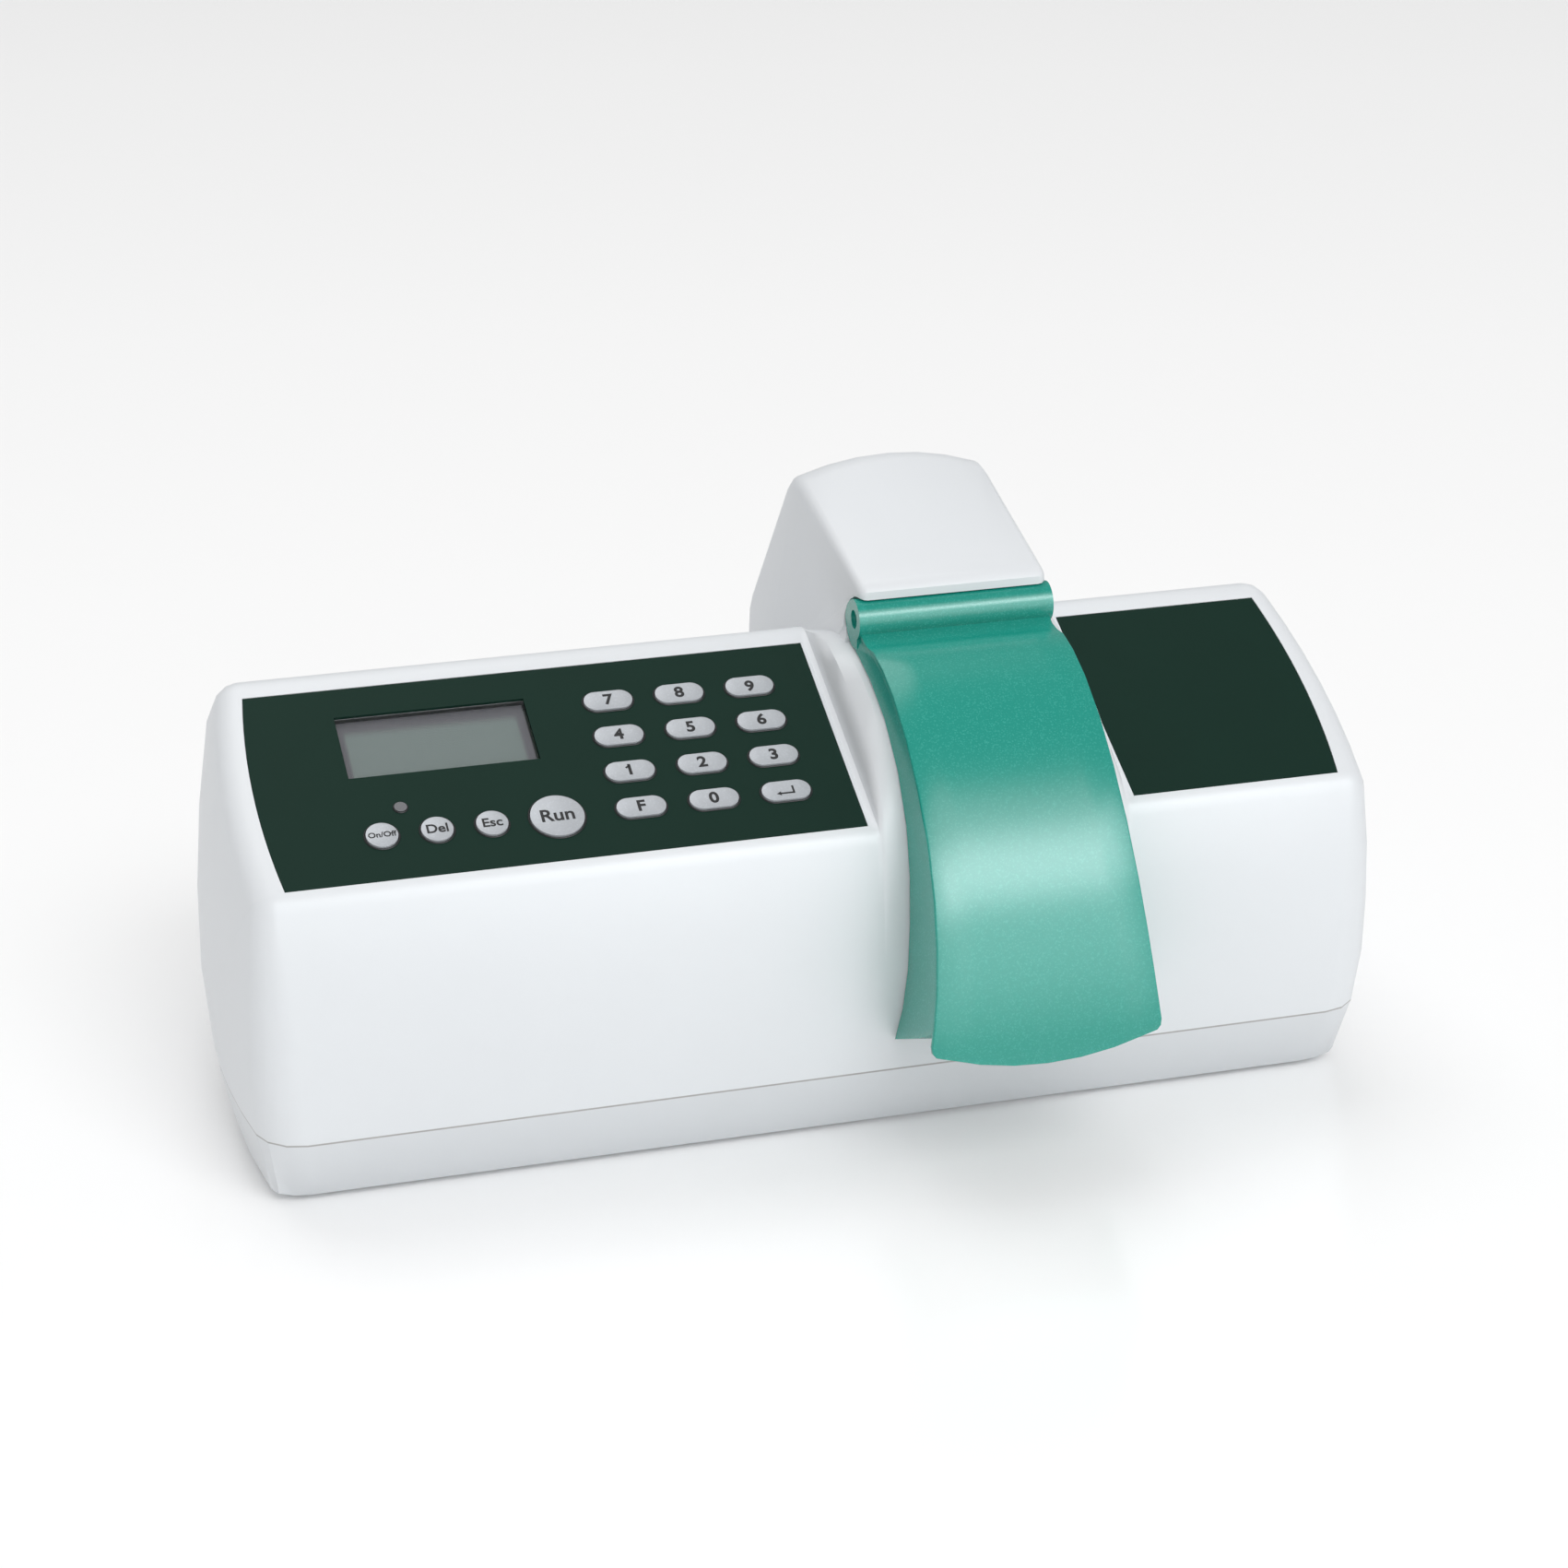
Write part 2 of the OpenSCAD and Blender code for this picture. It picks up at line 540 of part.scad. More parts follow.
post_places = [[board_x0 + post_in, board_y1 - post_in], [board_x1 - post_in, board_y1 - post_in],
               [board_x0 + post_in, board_y0 + 13], [board_x1 - post_in, board_y0 + post_in],
               [between_x, board_y1 - post_in]];
module keypad_board() color("#2f6b4a") centred() on_panel() difference() {
    union() {
        translate([board_x0, board_y0, board_top - board_t])
            cube([board_x1 - board_x0, board_y1 - board_y0, board_t]);
        for (d = [0:9]) translate([each digit_place(d), board_top]) switch_body();
        for (col = [0, 2]) translate([each grid_place(col, 0), board_top]) switch_body();
        for (i = [0:2]) translate([each small_place(i), board_top]) switch_body();
        translate([run_x, key_row_y, board_top]) switch_body();
    }
    for (q = post_places) translate([q[0], q[1], board_top - board_t - 1])
        cylinder(h = board_t + 2, d = board_screw_d + 0.4, $fn = 24);
}
module switch_body() translate([-3, -3, -eps]) cube([6, 6, switch_h + eps]);
module status_lamp() color("#3e4046") centred() on_panel() translate([lamp_x, lamp_y, 0]) {
    translate([0, 0, board_top]) cylinder(h = overlay_top + 0.5 - board_top, d = lamp_d, $fn = 32);
    translate([0, 0, board_top]) cylinder(h = 1.5, d = lamp_d + 1, $fn = 32);
}

// ---- upper housing ----

pocket_r = barrel_r + 0.7;
lug_r = barrel_r - lid_wall - 0.5;
ear_t = 3;
lid_outer_half = lid_top_half + 0.8;
lug_outer = lid_outer_half - ear_t - 0.4;
lug_w = 8;
lug_inner = lug_outer - lug_w;
bay_cut_half = bay_w / 2 + tray_wall + fit;
boss_screw_len = 30;
// Bosses that take the base screws: [x, y]
boss_places = [for (x = [-150, 150], y = [66, 206]) [x, y]];
inlet_x = -118;
socket_x = -88;
port_w = 12;
port_h = 11;
port_len = 14;
port_z = post_z + board_t + port_h / 2;
module panel_posts() on_panel() for (q = post_places)
    translate([q[0], q[1], board_top]) difference() {
        cylinder(h = -recess - board_top - 1, d = 6.4, $fn = 32);
        translate([0, 0, -eps]) cylinder(h = 3.5, d = board_screw_d, $fn = 24);
    }
// Outline of the cover's ears about the hinge: the barrel and a lobe behind and below it
ear_r = 9.8;
lobe_r = 9;
module ear_outline(grow) {
    circle(barrel_r + grow, $fn = 72);
    intersection() {
        circle(ear_r + grow, $fn = 90);
        union() {
            translate([0.6, -3.1]) circle(lobe_r + grow, $fn = 72);
            // the way of the lobe when the cover opens
            if (grow > 0) translate([-ear_r, -2 * ear_r]) square([2 * ear_r, 2 * ear_r]);
        }
        translate([-3.5 - grow, -2 * ear_r]) square([3 * ear_r, 3 * ear_r]);
    }
}
// The two lugs that carry the hinge pin, on their stems
stem_len = barrel_r + 7.5;
module hinge_lugs() for (side = [-1, 1]) translate([side * (lug_inner + lug_w / 2), 0, 0]) {
    on_hinge() cylinder(h = lug_w, r = lug_r, center = true, $fn = 48);
    translate([lid_x - lug_w / 2, hinge_y - lug_r + 0.8, hinge_z - stem_len])
        cube([lug_w, lug_r + 0.6, stem_len]);
}
module corner_bosses() for (q = boss_places)
    translate([q[0], q[1], parting_z]) difference() {
        union() {
            cylinder(h = boss_screw_len, d = boss_d, $fn = 40);
            // web to the wall in front or behind
            reach = q[1] < deck_mid_y ? q[1] - front_y(parting_z) - 1 : rear_y - q[1] - 1.5;
            translate([-1.2, q[1] < deck_mid_y ? -reach : 0, 0]) cube([2.4, reach, boss_screw_len]);
        }
        translate([0, 0, -eps]) cylinder(h = 14, d = base_screw_d + 0.1, $fn = 32);
    }
module upper_housing() color(white_plastic) centred() difference() {
    union() {
        difference() {
            upper_shell();
            on_hinge() cylinder(h = 2 * lid_outer_half + 1.2, r = pocket_r, center = true, $fn = 72);
            for (side = [-1, 1]) across(lid_x + side * (lid_outer_half - ear_t / 2), ear_t + 1.2)
                translate([hinge_y, hinge_z]) ear_outline(pocket_r - barrel_r);
        }
        hinge_lugs();
        panel_posts();
        corner_bosses();
        // pads behind the front wall for the cover's sensor
        for (z = [-7, 4]) translate([magnet_x - 4, sensor_y - 4, magnet_z + z]) cube([8, 4, 3]);
    }
    on_panel() translate([0, 0, -recess]) linear_extrude(5) { left_field(0); right_field(0); }
    on_panel() translate([0, 0, -wall - 4]) linear_extrude(8) key_openings();
    on_hinge() cylinder(h = 2 * lid_outer_half, r = pin_d / 2 + pin_clear, center = true, $fn = 36);
    // opening for the bay tray, through the top of the saddle
    across(lid_x, 2 * bay_cut_half) tray_outline(fit, 12);
    // ports in the rear wall
    for (x = [inlet_x, socket_x])
        translate([x - port_w / 2 - fit, rear_y - 2 * wall, port_z - port_h / 2 - fit])
            cube([port_w + 2 * fit, 4 * wall, port_h + 2 * fit]);
}

// ---- cover ----

// Front of the cover seen from the side, from the crease below the hinge to the bottom edge
lid_low_z = 43;
crease = [hinge_y - 18.7, hinge_z - 4.6];
lid_curve = [crease, crease + [-38, -5], [-1, lid_low_z + 54], [0, lid_low_z]];
skirt_low_z = 38;
body_share = 0.66;              // part of the cover's length that lies over the saddle
neck_start = [hinge_y, hinge_z] + barrel_r * [cos(212), sin(212)];
neck = concat([neck_start], bend(neck_start, crease + [9.2, -1.8], crease, 3));
neck_back = [[hinge_y + 0.2, hinge_z - 6.4], [hinge_y - 0.6, hinge_z - 7.9], [hinge_y - 1.6, hinge_z - 9.1]];
lid_rows = [0, 0.08, 0.18, 0.3, 0.42, 0.54, 0.66, 0.76, 0.85, 0.925];
// Below the last of these rows the front goes on alone, down to its rounded corners
tongue_rows = [0.95, 0.969, 0.9845, 0.9945, 1];
tongue_r = 4.5;
lid_length = 150;
lid_columns = [0, 0.33, 0.66, 1];
bottom_bow = 0.036;             // share of its length by which the front is shorter at its edges
edge_step = 0.8;                // the skirts stand back behind the edge of the front
function front_half(t) = let (s = min(tongue_r, (1 - t) * lid_length))
    lid_top_half + (lid_low_half - lid_top_half) * pow(t, 3.5)
    - tongue_r + sqrt(pow(tongue_r, 2) - pow(tongue_r - s, 2));
function skirt_half(t) = lid_outer_half + (lid_low_half - edge_step - lid_outer_half) * pow(t, 7);
// Back edge of the skirts, which follows the saddle and the front wall
function skirt_back(t) =
    t < body_share
    ? let (u = 0.93 * pow(1 - t / body_share, 1.1), p = cubic(saddle_curve, u),
           d = unit(cubic(saddle_curve, u + 0.01) - p)) p + lid_gap * [-d[1], d[0]]
    : let (z = lerp(saddle_curve[0][1], skirt_low_z, (t - body_share) / (1 - body_share)))
        [front_y(z) - lid_gap, z];
// Front of the cover at share t of its length and share u of its half width: the bottom edge bows
function lid_front(t, u) = cubic(lid_curve, t - bottom_bow * u * u * pow(t, 4));
function front_normal(t, u) = let (d = unit(lid_front(t + 0.005, u) - lid_front(t - 0.005, u))) [-d[1], d[0]];
// Half of one curve across the cover: [x, y, z] from its middle, by a fold of [x, depth] points
function half_row(points, normals, wf, fold) = concat(
    [for (i = [0:len(points) - 1])
        [lid_columns[i] * (wf + fold[0][0]), each points[i] + fold[0][1] * normals[i]]],
    [for (i = [1:len(fold) - 1])
        [wf + fold[i][0], each points[len(points) - 1] + fold[i][1] * normals[len(points) - 1]]]);
edge_fold = [[-0.6, 0], [-0.15, 0.2], [0, 0.6], [0, 1.8], [-edge_step, 2.2]];
inner_fold = [[-lid_wall - 1.6, lid_wall], each [for (a = [22.5:22.5:90])
              [-lid_wall - 1.4 + 1.4 * sin(a), lid_wall + 1.4 * (1 - cos(a))]]];
tongue_fold = [[-0.6, 0], [-0.15, 0.2], [0, 0.6], [0, 1.7], [-0.1, 1.95], [-0.4, lid_wall - 0.1]];
tongue_inner = [[-lid_wall - 1.6, lid_wall], each [for (i = [0:4]) [-3.4 + 0.55 * i, lid_wall]]];
function both_sides(half) = concat(
    [for (i = [len(half) - 1:-1:1]) [-half[i][0], half[i][1], half[i][2]]], half);
function lid_surface(inner) = let (d = inner ? lid_wall : 0, fold = inner ? inner_fold : edge_fold) concat(
    [for (i = [0:len(neck) - 2]) let (n = unit(neck_back[i] - neck[i]))
        both_sides(concat(half_row([for (u = lid_columns) neck[i]], [for (u = lid_columns) n],
            lid_top_half, fold),
                          [[lid_outer_half - d, each neck_back[i]]]))],
    [for (t = lid_rows) let (back = t / lid_rows[len(lid_rows) - 1])
        both_sides(concat(half_row([for (u = lid_columns) lid_front(t, u)],
            [for (u = lid_columns) front_normal(t, u)],
                                   front_half(t), fold),
                          [[skirt_half(back) - d, each skirt_back(back)]]))],
    [for (t = tongue_rows) both_sides(half_row([for (u = lid_columns) lid_front(t, u)],
        [for (u = lid_columns) front_normal(t, u)], front_half(t), inner ? tongue_inner : tongue_fold))]);
// A closed sheet between an outer and an inner surface with the same rows and columns
module sheet_body(outer, inner) {
    m = len(outer);
    n = len(outer[0]);
    k = m * n;
    function quad(a, b, c, d) = [[a, b, c], [a, c, d]];
    faces = concat(
        [for (i = [0:m - 2], j = [0:n - 2]) let (a = i * n + j)
            each concat(quad(a, a + 1, a + n + 1, a + n), quad(k + a, k + a + n, k + a + n + 1, k + a + 1))],
        [for (j = [0:n - 2]) let (b = (m - 1) * n + j)
            each concat(quad(j, k + j, k + j + 1, j + 1), quad(b, b + 1, k + b + 1, k + b))],
        [for (i = [0:m - 2]) let (a = i * n, b = i * n + n - 1)
            each concat(quad(a, a + n, k + a + n, k + a), quad(b, k + b, k + b + n, b + n))]);
    polyhedron([for (r = concat(outer, inner)) each r], faces, convexity = 8);
}
magnet_d = 5;
magnet_t = 3;
magnet_x = lid_x - 31;
magnet_z = 50;
magnet_back = belly_y - lid_gap - 0.5;
sensor_y = front_y(magnet_z) + wall + 2.2;
module along_y(p) translate(p) rotate([-90, 0, 0]) children();
module lid() color(cover_green) centred() difference() {
    union() {
        translate([lid_x, 0, 0]) sheet_body(lid_surface(false), lid_surface(true));
        across(lid_x, 2 * lid_top_half) translate([hinge_y, hinge_z]) intersection() {
            difference() {
                circle(barrel_r, $fn = 72);
                circle(barrel_r - lid_wall, $fn = 72);
            }
            polygon([[0, 0], for (a = [55:27:217]) 3 * barrel_r * [cos(a), sin(a)]]);
        }
        for (side = [-1, 1]) across(lid_x + side * (lid_outer_half - ear_t / 2), ear_t)
            translate([hinge_y, hinge_z]) ear_outline(0);
        // boss for the magnet on the inside of the left skirt
        along_y([magnet_x, magnet_back - 9, magnet_z]) cylinder(h = 9, d = magnet_d + 4, $fn = 36);
    }
    on_hinge() cylinder(h = 3 * lid_outer_half, r = pin_d / 2 + pin_clear, center = true, $fn = 36);
    for (side = [-1, 1]) translate([side * lid_outer_half, 0, 0])
        on_hinge() cylinder(h = 2, d = pin_d + 2.2, center = true, $fn = 36);
    along_y([magnet_x, magnet_back - magnet_t - 0.2, magnet_z]) cylinder(h = 5, d = magnet_d + 0.1, $fn = 36);
}
module lid_hinge_pin() color("#b9bcc0") centred()
    on_hinge() cylinder(h = 2 * lid_outer_half - 2.6, d = pin_d, center = true, $fn = 36);
module lid_magnet() color("#8d9094") centred()
    along_y([magnet_x, magnet_back - magnet_t - 0.1, magnet_z])
        cylinder(h = magnet_t, d = magnet_d, $fn = 36);
module lid_sensor() color("#2f6b4a") centred()
    translate([magnet_x - 5, sensor_y, magnet_z - 7]) {
        cube([10, board_t, 14]);
        translate([2, board_t - eps, 3]) cube([6, 2.4, 8]);
    }

// ---- bay tray, chassis and optics ----

tray_floor = 3;
// Outline of the tray seen from the side, grown by g and by top at its open side
module tray_outline(g, top) {
    front = [for (t = [0.26:0.09:0.8]) cubic(saddle_curve, t)];
    start = bay_point(
        (front[0][0] - g - bay_y - (tray_floor + g) * slope_dir[1]) / slope_dir[0], -tray_floor - g);
    rear = bay_point(bay_len + tray_wall + g, -tray_floor - g);
    rear_top = cubic(saddle_curve, 0.86)[1];
    polygon(concat([start, rear],
        [rear + [-slope_dir[1], slope_dir[0]] * (rear_top + top - rear[1]) / slope_dir[0]],
                   [for (i = [len(front) - 1:-1:0]) front[i] + [-g, top]]));
}
window_y = 24;
module bay_tray() color("#2b2d31") centred() difference() {
    union() {
        across(lid_x, bay_w + 2 * tray_wall) tray_outline(0, 0);
        // ribs that stand on the chassis
        for (side = [-1, 1]) on_bay()
            translate([side * (bay_w / 2 + tray_wall - 1.5) - 1.5, 4, -plate_gap])
                cube([3, bay_len - 4, plate_gap - tray_floor + eps]);
    }
    on_bay() translate([-bay_w / 2, -20, 0]) cube([bay_w, bay_len + 20, 60]);
    on_bay() along_y([0, bay_len - 1, axis_h]) cylinder(h = 20, d = plunger_d + 0.6, $fn = 40);
    on_bay() translate([0, window_y, -tray_floor - 1]) cylinder(h = tray_floor + 2, d = 14, $fn = 48);
}
plate_gap = 9.5;                 // chassis plate below the bay floor
plate_half = 26;
plate_y0 = 2;
plate_y1 = 128;
leg_w = 20;
post_h = 6;
foot_z = floor_z + wall + post_h;
foot_out = 14;
function bay_point(v, w) = [bay_y, bay_z] + v * slope_dir + w * [-slope_dir[1], slope_dir[0]];
plate_front = bay_point(plate_y0, -plate_gap - sheet);
plate_rear = bay_point(plate_y1, -plate_gap - sheet);
leg_places = [plate_front[0] + leg_w / 2, plate_rear[0] - leg_w / 2];
screw_x = plate_half + foot_out / 2 + 1;
module chassis() color("#aeb2b6") centred() {
    on_bay() translate([-plate_half, plate_y0, -plate_gap - sheet]) difference() {
        cube([2 * plate_half, plate_y1 - plate_y0, sheet]);
        translate([plate_half, window_y - plate_y0, -1]) cylinder(h = sheet + 2, d = 16, $fn = 48);
    }
    for (side = [-1, 1]) {
        across(lid_x + side * (plate_half - sheet / 2), sheet) difference() {
            polygon([bay_point(plate_y0, -plate_gap), bay_point(plate_y1, -plate_gap),
                     [plate_rear[0], foot_z], [plate_front[0], foot_z]]);
            translate([plate_front[0] + leg_w, foot_z - 1])
                square([plate_rear[0] - plate_front[0] - 2 * leg_w, plate_front[1] - foot_z - 12]);
            polygon([bay_point(plate_y0 + 30, -plate_gap - 22), bay_point(plate_y1 - 14, -plate_gap - 22),
                     [plate_rear[0] - leg_w, plate_front[1] - 14],
                      [plate_front[0] + leg_w, plate_front[1] - 14]]);
        }
        for (y = leg_places)
            translate([lid_x + side * (plate_half + foot_out / 2 - sheet / 2) - foot_out / 2 - sheet / 2,
                y - leg_w / 2, foot_z])
                difference() {
                    cube([foot_out + sheet, leg_w, sheet]);
                    translate([foot_out / 2 + sheet / 2
                        + side * (screw_x - plate_half - foot_out / 2 + sheet / 2), leg_w / 2, -1])
                        cylinder(h = sheet + 2, d = base_screw_d + 0.6, $fn = 32);
                }
    }
}
bracket_y0 = bay_len + tray_wall + 2.5;
carriage_len = 12;
carriage_rest = 2.5;             // free length behind the carriage at rest
carriage_stop = 2;             // and in front of it at the end of its travel
bracket_y1 = bracket_y0 + 2 * sheet + carriage_stop + plunger_travel + carriage_len + carriage_rest;
bracket_half = 16;
plate_top = 10.4;
motor_low = axis_h - motor_w / 2;
module drive_bracket() color("#c3c6c9") centred() on_bay() difference() {
    union() {
        translate([-bracket_half, bracket_y0, -plate_gap])
            cube([2 * bracket_half, bracket_y1 - bracket_y0, sheet]);
        translate([-bracket_half, bracket_y0, -plate_gap])
            cube([2 * bracket_half, sheet, plate_top + plate_gap]);
        translate([-bracket_half, bracket_y1 - sheet, -plate_gap])
            cube([2 * bracket_half, sheet, axis_h + motor_w / 2 + plate_gap]);
    }
    along_y([0, bracket_y0 - 1, axis_h]) cylinder(h = sheet + 2, r = plunger_d / 2 + pin_clear, $fn = 40);
    along_y([0, bracket_y1 - sheet - 1, axis_h]) cylinder(h = sheet + 2, r = screw_d / 2 + 0.5, $fn = 40);
    for (side = [-1, 1]) along_y([side * rod_pitch / 2, bracket_y0 - 1, axis_h])
        cylinder(h = bracket_y1 - bracket_y0 + 2, r = rod_d / 2 + 0.02, $fn = 32);
}
module guide_rods() color("#d0d3d6") centred() on_bay() for (side = [-1, 1])
    along_y([side * rod_pitch / 2, bracket_y0, axis_h])
        cylinder(h = bracket_y1 - bracket_y0, d = rod_d, $fn = 32);
carriage_y = bracket_y1 - sheet - carriage_rest - carriage_len;
carriage_w = rod_pitch + rod_d + 4;
carriage_below = 5.4;            // how far the carriage reaches below and above its axis
carriage_above = 3.4;
screw_tip = bracket_y0 + 5;
module plunger() color("#dcdedf") centred() on_bay() difference() {
    union() {
        translate([-carriage_w / 2, carriage_y, axis_h - carriage_below])
            cube([carriage_w, carriage_len, carriage_below + carriage_above]);
        along_y([0, bay_len + 0.3, axis_h]) cylinder(h = carriage_y - bay_len, d = plunger_d, $fn = 40);
    }
    along_y([0, screw_tip - 4, axis_h]) cylinder(h = bracket_y1, r = screw_d / 2 + pin_clear, $fn = 40);
    for (side = [-1, 1]) along_y([side * rod_pitch / 2, carriage_y - 1, axis_h])
        cylinder(h = carriage_len + 2, r = rod_d / 2 + pin_clear, $fn = 32);
}
screw_in = 20;
module lead_screw() color("#c9ccd0") centred() on_bay()
    along_y([0, screw_tip, axis_h]) cylinder(h = bracket_y1 + screw_in - screw_tip, d = screw_d, $fn = 40);
module drive_motor() color("#4a4d52") centred() on_bay() difference() {
    union() {
        translate([-motor_w / 2, bracket_y1, motor_low]) cube([motor_w, motor_len, motor_w]);
        translate([motor_w / 2 - eps, bracket_y1 + motor_len - 8, axis_h - 6]) cube([3, 6, 10]);
    }
    along_y([0, bracket_y1 - 1, axis_h]) cylinder(h = screw_in + 2, r = screw_d / 2 + pin_clear, $fn = 40);
}
light_r = 13.5;
module light_board() color("#2f6b4a") centred() on_bay() translate([0, window_y, -plate_gap]) difference() {
    union() {
        cylinder(h = 1.2, r = light_r, $fn = 48);
        for (a = [45:90:315]) rotate([0, 0, a]) translate([10.3, 0, 0]) cylinder(h = 3, d = 4, $fn = 24);
    }
    translate([0, 0, -1]) cylinder(h = 5, d = 15, $fn = 48);
}
barrel_top = -plate_gap - sheet;
barrel_bore = barrel_d - 6;
filter_t = 2;
module lens_barrel() color("#26282b") centred() on_bay() translate([0, window_y, barrel_top]) difference() {
    union() {
        translate([0, 0, -3]) cylinder(h = 3, d = barrel_d + 10, $fn = 60);
        translate([0, 0, -barrel_len]) cylinder(h = barrel_len, d = barrel_d, $fn = 60);
    }
    translate([0, 0, -barrel_len - 1]) cylinder(h = barrel_len + 2, d = barrel_bore - 4, $fn = 48);
    translate([0, 0, -filter_t - 1]) cylinder(h = filter_t + 2, d = barrel_bore, $fn = 48);
}
module emission_filter() color("#7a3b2e") centred() on_bay()
    translate([0, window_y, barrel_top - filter_t - 0.9])
        cylinder(h = filter_t, d = barrel_bore - 0.1, $fn = 48);
camera_w = 30;
module camera_board() color("#2f6b4a") centred() on_bay() translate([0, window_y, barrel_top - barrel_len]) {
    translate([-camera_w / 2, -camera_w / 2, -board_t]) cube([camera_w, camera_w, board_t]);
    translate([-5, -5, -eps]) cube([10, 10, 1.4]);
    translate([-9, camera_w / 2 - 7, -board_t - 3]) cube([18, 5, 3 + eps]);
}

// ---- electronics ----

board_rear = rear_y - wall - 1;
main_x0 = -140;
main_y0 = board_rear - board_depth;
main_posts = [for (x = [main_x0 + 5, main_x0 + board_w - 5], y = [main_y0 + 5, board_rear - 16]) [x, y]];
module main_board() color("#2f6b4a") centred() difference() {
    union() {
        translate([main_x0, main_y0, post_z]) cube([board_w, board_depth, board_t]);
        // processor, memory, supply and connectors
        translate([main_x0 + 60, main_y0 + 34, post_z]) cube([20, 20, board_t + 2]);
        translate([main_x0 + 90, main_y0 + 36, post_z]) cube([10, 18, board_t + 1.6]);
        translate([main_x0 + 20, main_y0 + 50, post_z]) cube([14, 14, board_t + 9]);
        translate([main_x0 + 40, main_y0 + 8, post_z]) cube([26, 6, board_t + 8]);
        translate([main_x0 + 110, main_y0 + 8, post_z]) cube([20, 6, board_t + 8]);
        for (i = [0:1]) translate([main_x0 + 16 + i * 14, main_y0 + 26, post_z])
            cylinder(h = board_t + 14, d = 10, $fn = 36);
    }
    for (q = main_posts) translate([q[0], q[1], post_z - 1])
        cylinder(h = board_t + 2, d = board_screw_d + 0.4, $fn = 24);
}
module power_inlet() color("#232428") centred() translate([inlet_x, rear_y - 0.3 - port_len, port_z]) {
    difference() {
        translate([-port_w / 2, 0, -port_h / 2]) cube([port_w, port_len, port_h]);
        along_y([0, 4, 0]) cylinder(h = port_len, d = 6.4, $fn = 36);
    }
    along_y([0, 3, 0]) cylinder(h = port_len - 4.5, d = 2, $fn = 24);
}
module data_socket() color("#b9bcc0") centred() translate([socket_x, rear_y - 0.3 - port_len, port_z]) {
    difference() {
        translate([-port_w / 2, 0, -port_h / 2]) cube([port_w, port_len, port_h]);
        translate([-4.3, 4, -3.9]) cube([8.6, port_len, 7.8]);
    }
    translate([-2.8, 3, -1.5]) cube([5.6, port_len - 4.5, 3]);
}
ribbon_w = 20;
ribbon_t = 0.6;
ribbon_x = main_x0 + 53;
ribbon_top = [panel_low_y, panel_low_z] + 62 * slope_dir
    + (board_top - board_t - 0.4) * [-slope_dir[1], slope_dir[0]];
ribbon_end = [main_y0 + 11, post_z + board_t + 8.2];
ribbon_curve = [ribbon_top, ribbon_top + [15, -35], ribbon_end + [4, 45], ribbon_end];
module keypad_ribbon() color("#c8cacc") centred() across(ribbon_x, ribbon_w) {
    steps = [for (i = [0:14]) let (t = i / 14, p = cubic(ribbon_curve, t),
             d = unit(cubic(ribbon_curve, t + 0.01) - cubic(ribbon_curve, t - 0.01)))
        [p, [-d[1], d[0]] * ribbon_t / 2]];
    polygon(concat([for (q = steps) q[0] + q[1]],
        [for (i = [len(steps) - 1:-1:0]) steps[i][0] - steps[i][1]]));
}

// ---- lower housing, feet and fasteners ----

foot_places = [for (x = [-128, 128], y = [74, 200]) [x, y]];
head_h = 3;
base_head_z = floor_z + 4;
chassis_posts = [for (side = [-1, 1], y = leg_places) [lid_x + side * screw_x, y]];
module lower_housing() color(grey_plastic) centred() difference() {
    union() {
        lower_shell();
        for (q = boss_places) translate([q[0], q[1], floor_z + 1])
            cylinder(h = parting_z - floor_z - 1.1, d = boss_d + 2, $fn = 40);
        for (q = main_posts) translate([q[0], q[1], floor_z + 1])
            cylinder(h = post_z - floor_z - 1, d = 8, $fn = 32);
        for (q = chassis_posts) translate([q[0], q[1], floor_z + 1])
            cylinder(h = foot_z - floor_z - 1, d = 9, $fn = 32);
    }
    for (q = boss_places) translate([q[0], q[1], floor_z - 1]) {
        cylinder(h = parting_z, d = base_screw_d + 0.5, $fn = 32);
        cylinder(h = base_head_z + head_h - floor_z + 1, d = 2 * base_screw_d + 0.6, $fn = 36);
    }
    for (q = main_posts) translate([q[0], q[1], post_z - 10]) cylinder(h = 12, d = board_screw_d, $fn = 24);
    for (q = chassis_posts) translate([q[0], q[1], floor_z + 2])
        cylinder(h = foot_z, d = base_screw_d, $fn = 24);
    for (q = foot_places) translate([q[0], q[1], floor_z - 1])
        cylinder(h = 1 + foot_seat, d = foot_d + 0.4, $fn = 48);
}
module rubber_feet() color("#2a2b2d") centred() for (q = foot_places) translate([q[0], q[1], 0]) {
    cylinder(h = foot_h / 2, d1 = foot_d - 1.5, d2 = foot_d, $fn = 48);
    translate([0, 0, foot_h / 2]) cylinder(h = foot_h / 2 + foot_seat, d = foot_d, $fn = 48);
}
// A pan-headed screw that points up from z = 0, the underside of its head
module screw(d, length, head) {
    translate([0, 0, -head]) difference() {
        cylinder(h = head, d = 2 * d, $fn = 32);
        translate([-d * 0.7, -d * 0.12, -1]) cube([1.4 * d, 0.24 * d, 1 + head / 2]);
        translate([-d * 0.12, -d * 0.7, -1]) cube([0.24 * d, 1.4 * d, 1 + head / 2]);
    }
    translate([0, 0, -eps]) cylinder(h = length, d = d - 0.1, $fn = 24);
}
module base_screws() color("#8d9094") centred() for (q = boss_places)
    translate([q[0], q[1], base_head_z + head_h])
        screw(base_screw_d, parting_z + 12 - base_head_z - head_h, head_h);
module chassis_screws() color("#b9bcc0") centred() for (q = chassis_posts)
    translate([q[0], q[1], foot_z + sheet]) mirror([0, 0, 1]) screw(base_screw_d, 8, 2.5);
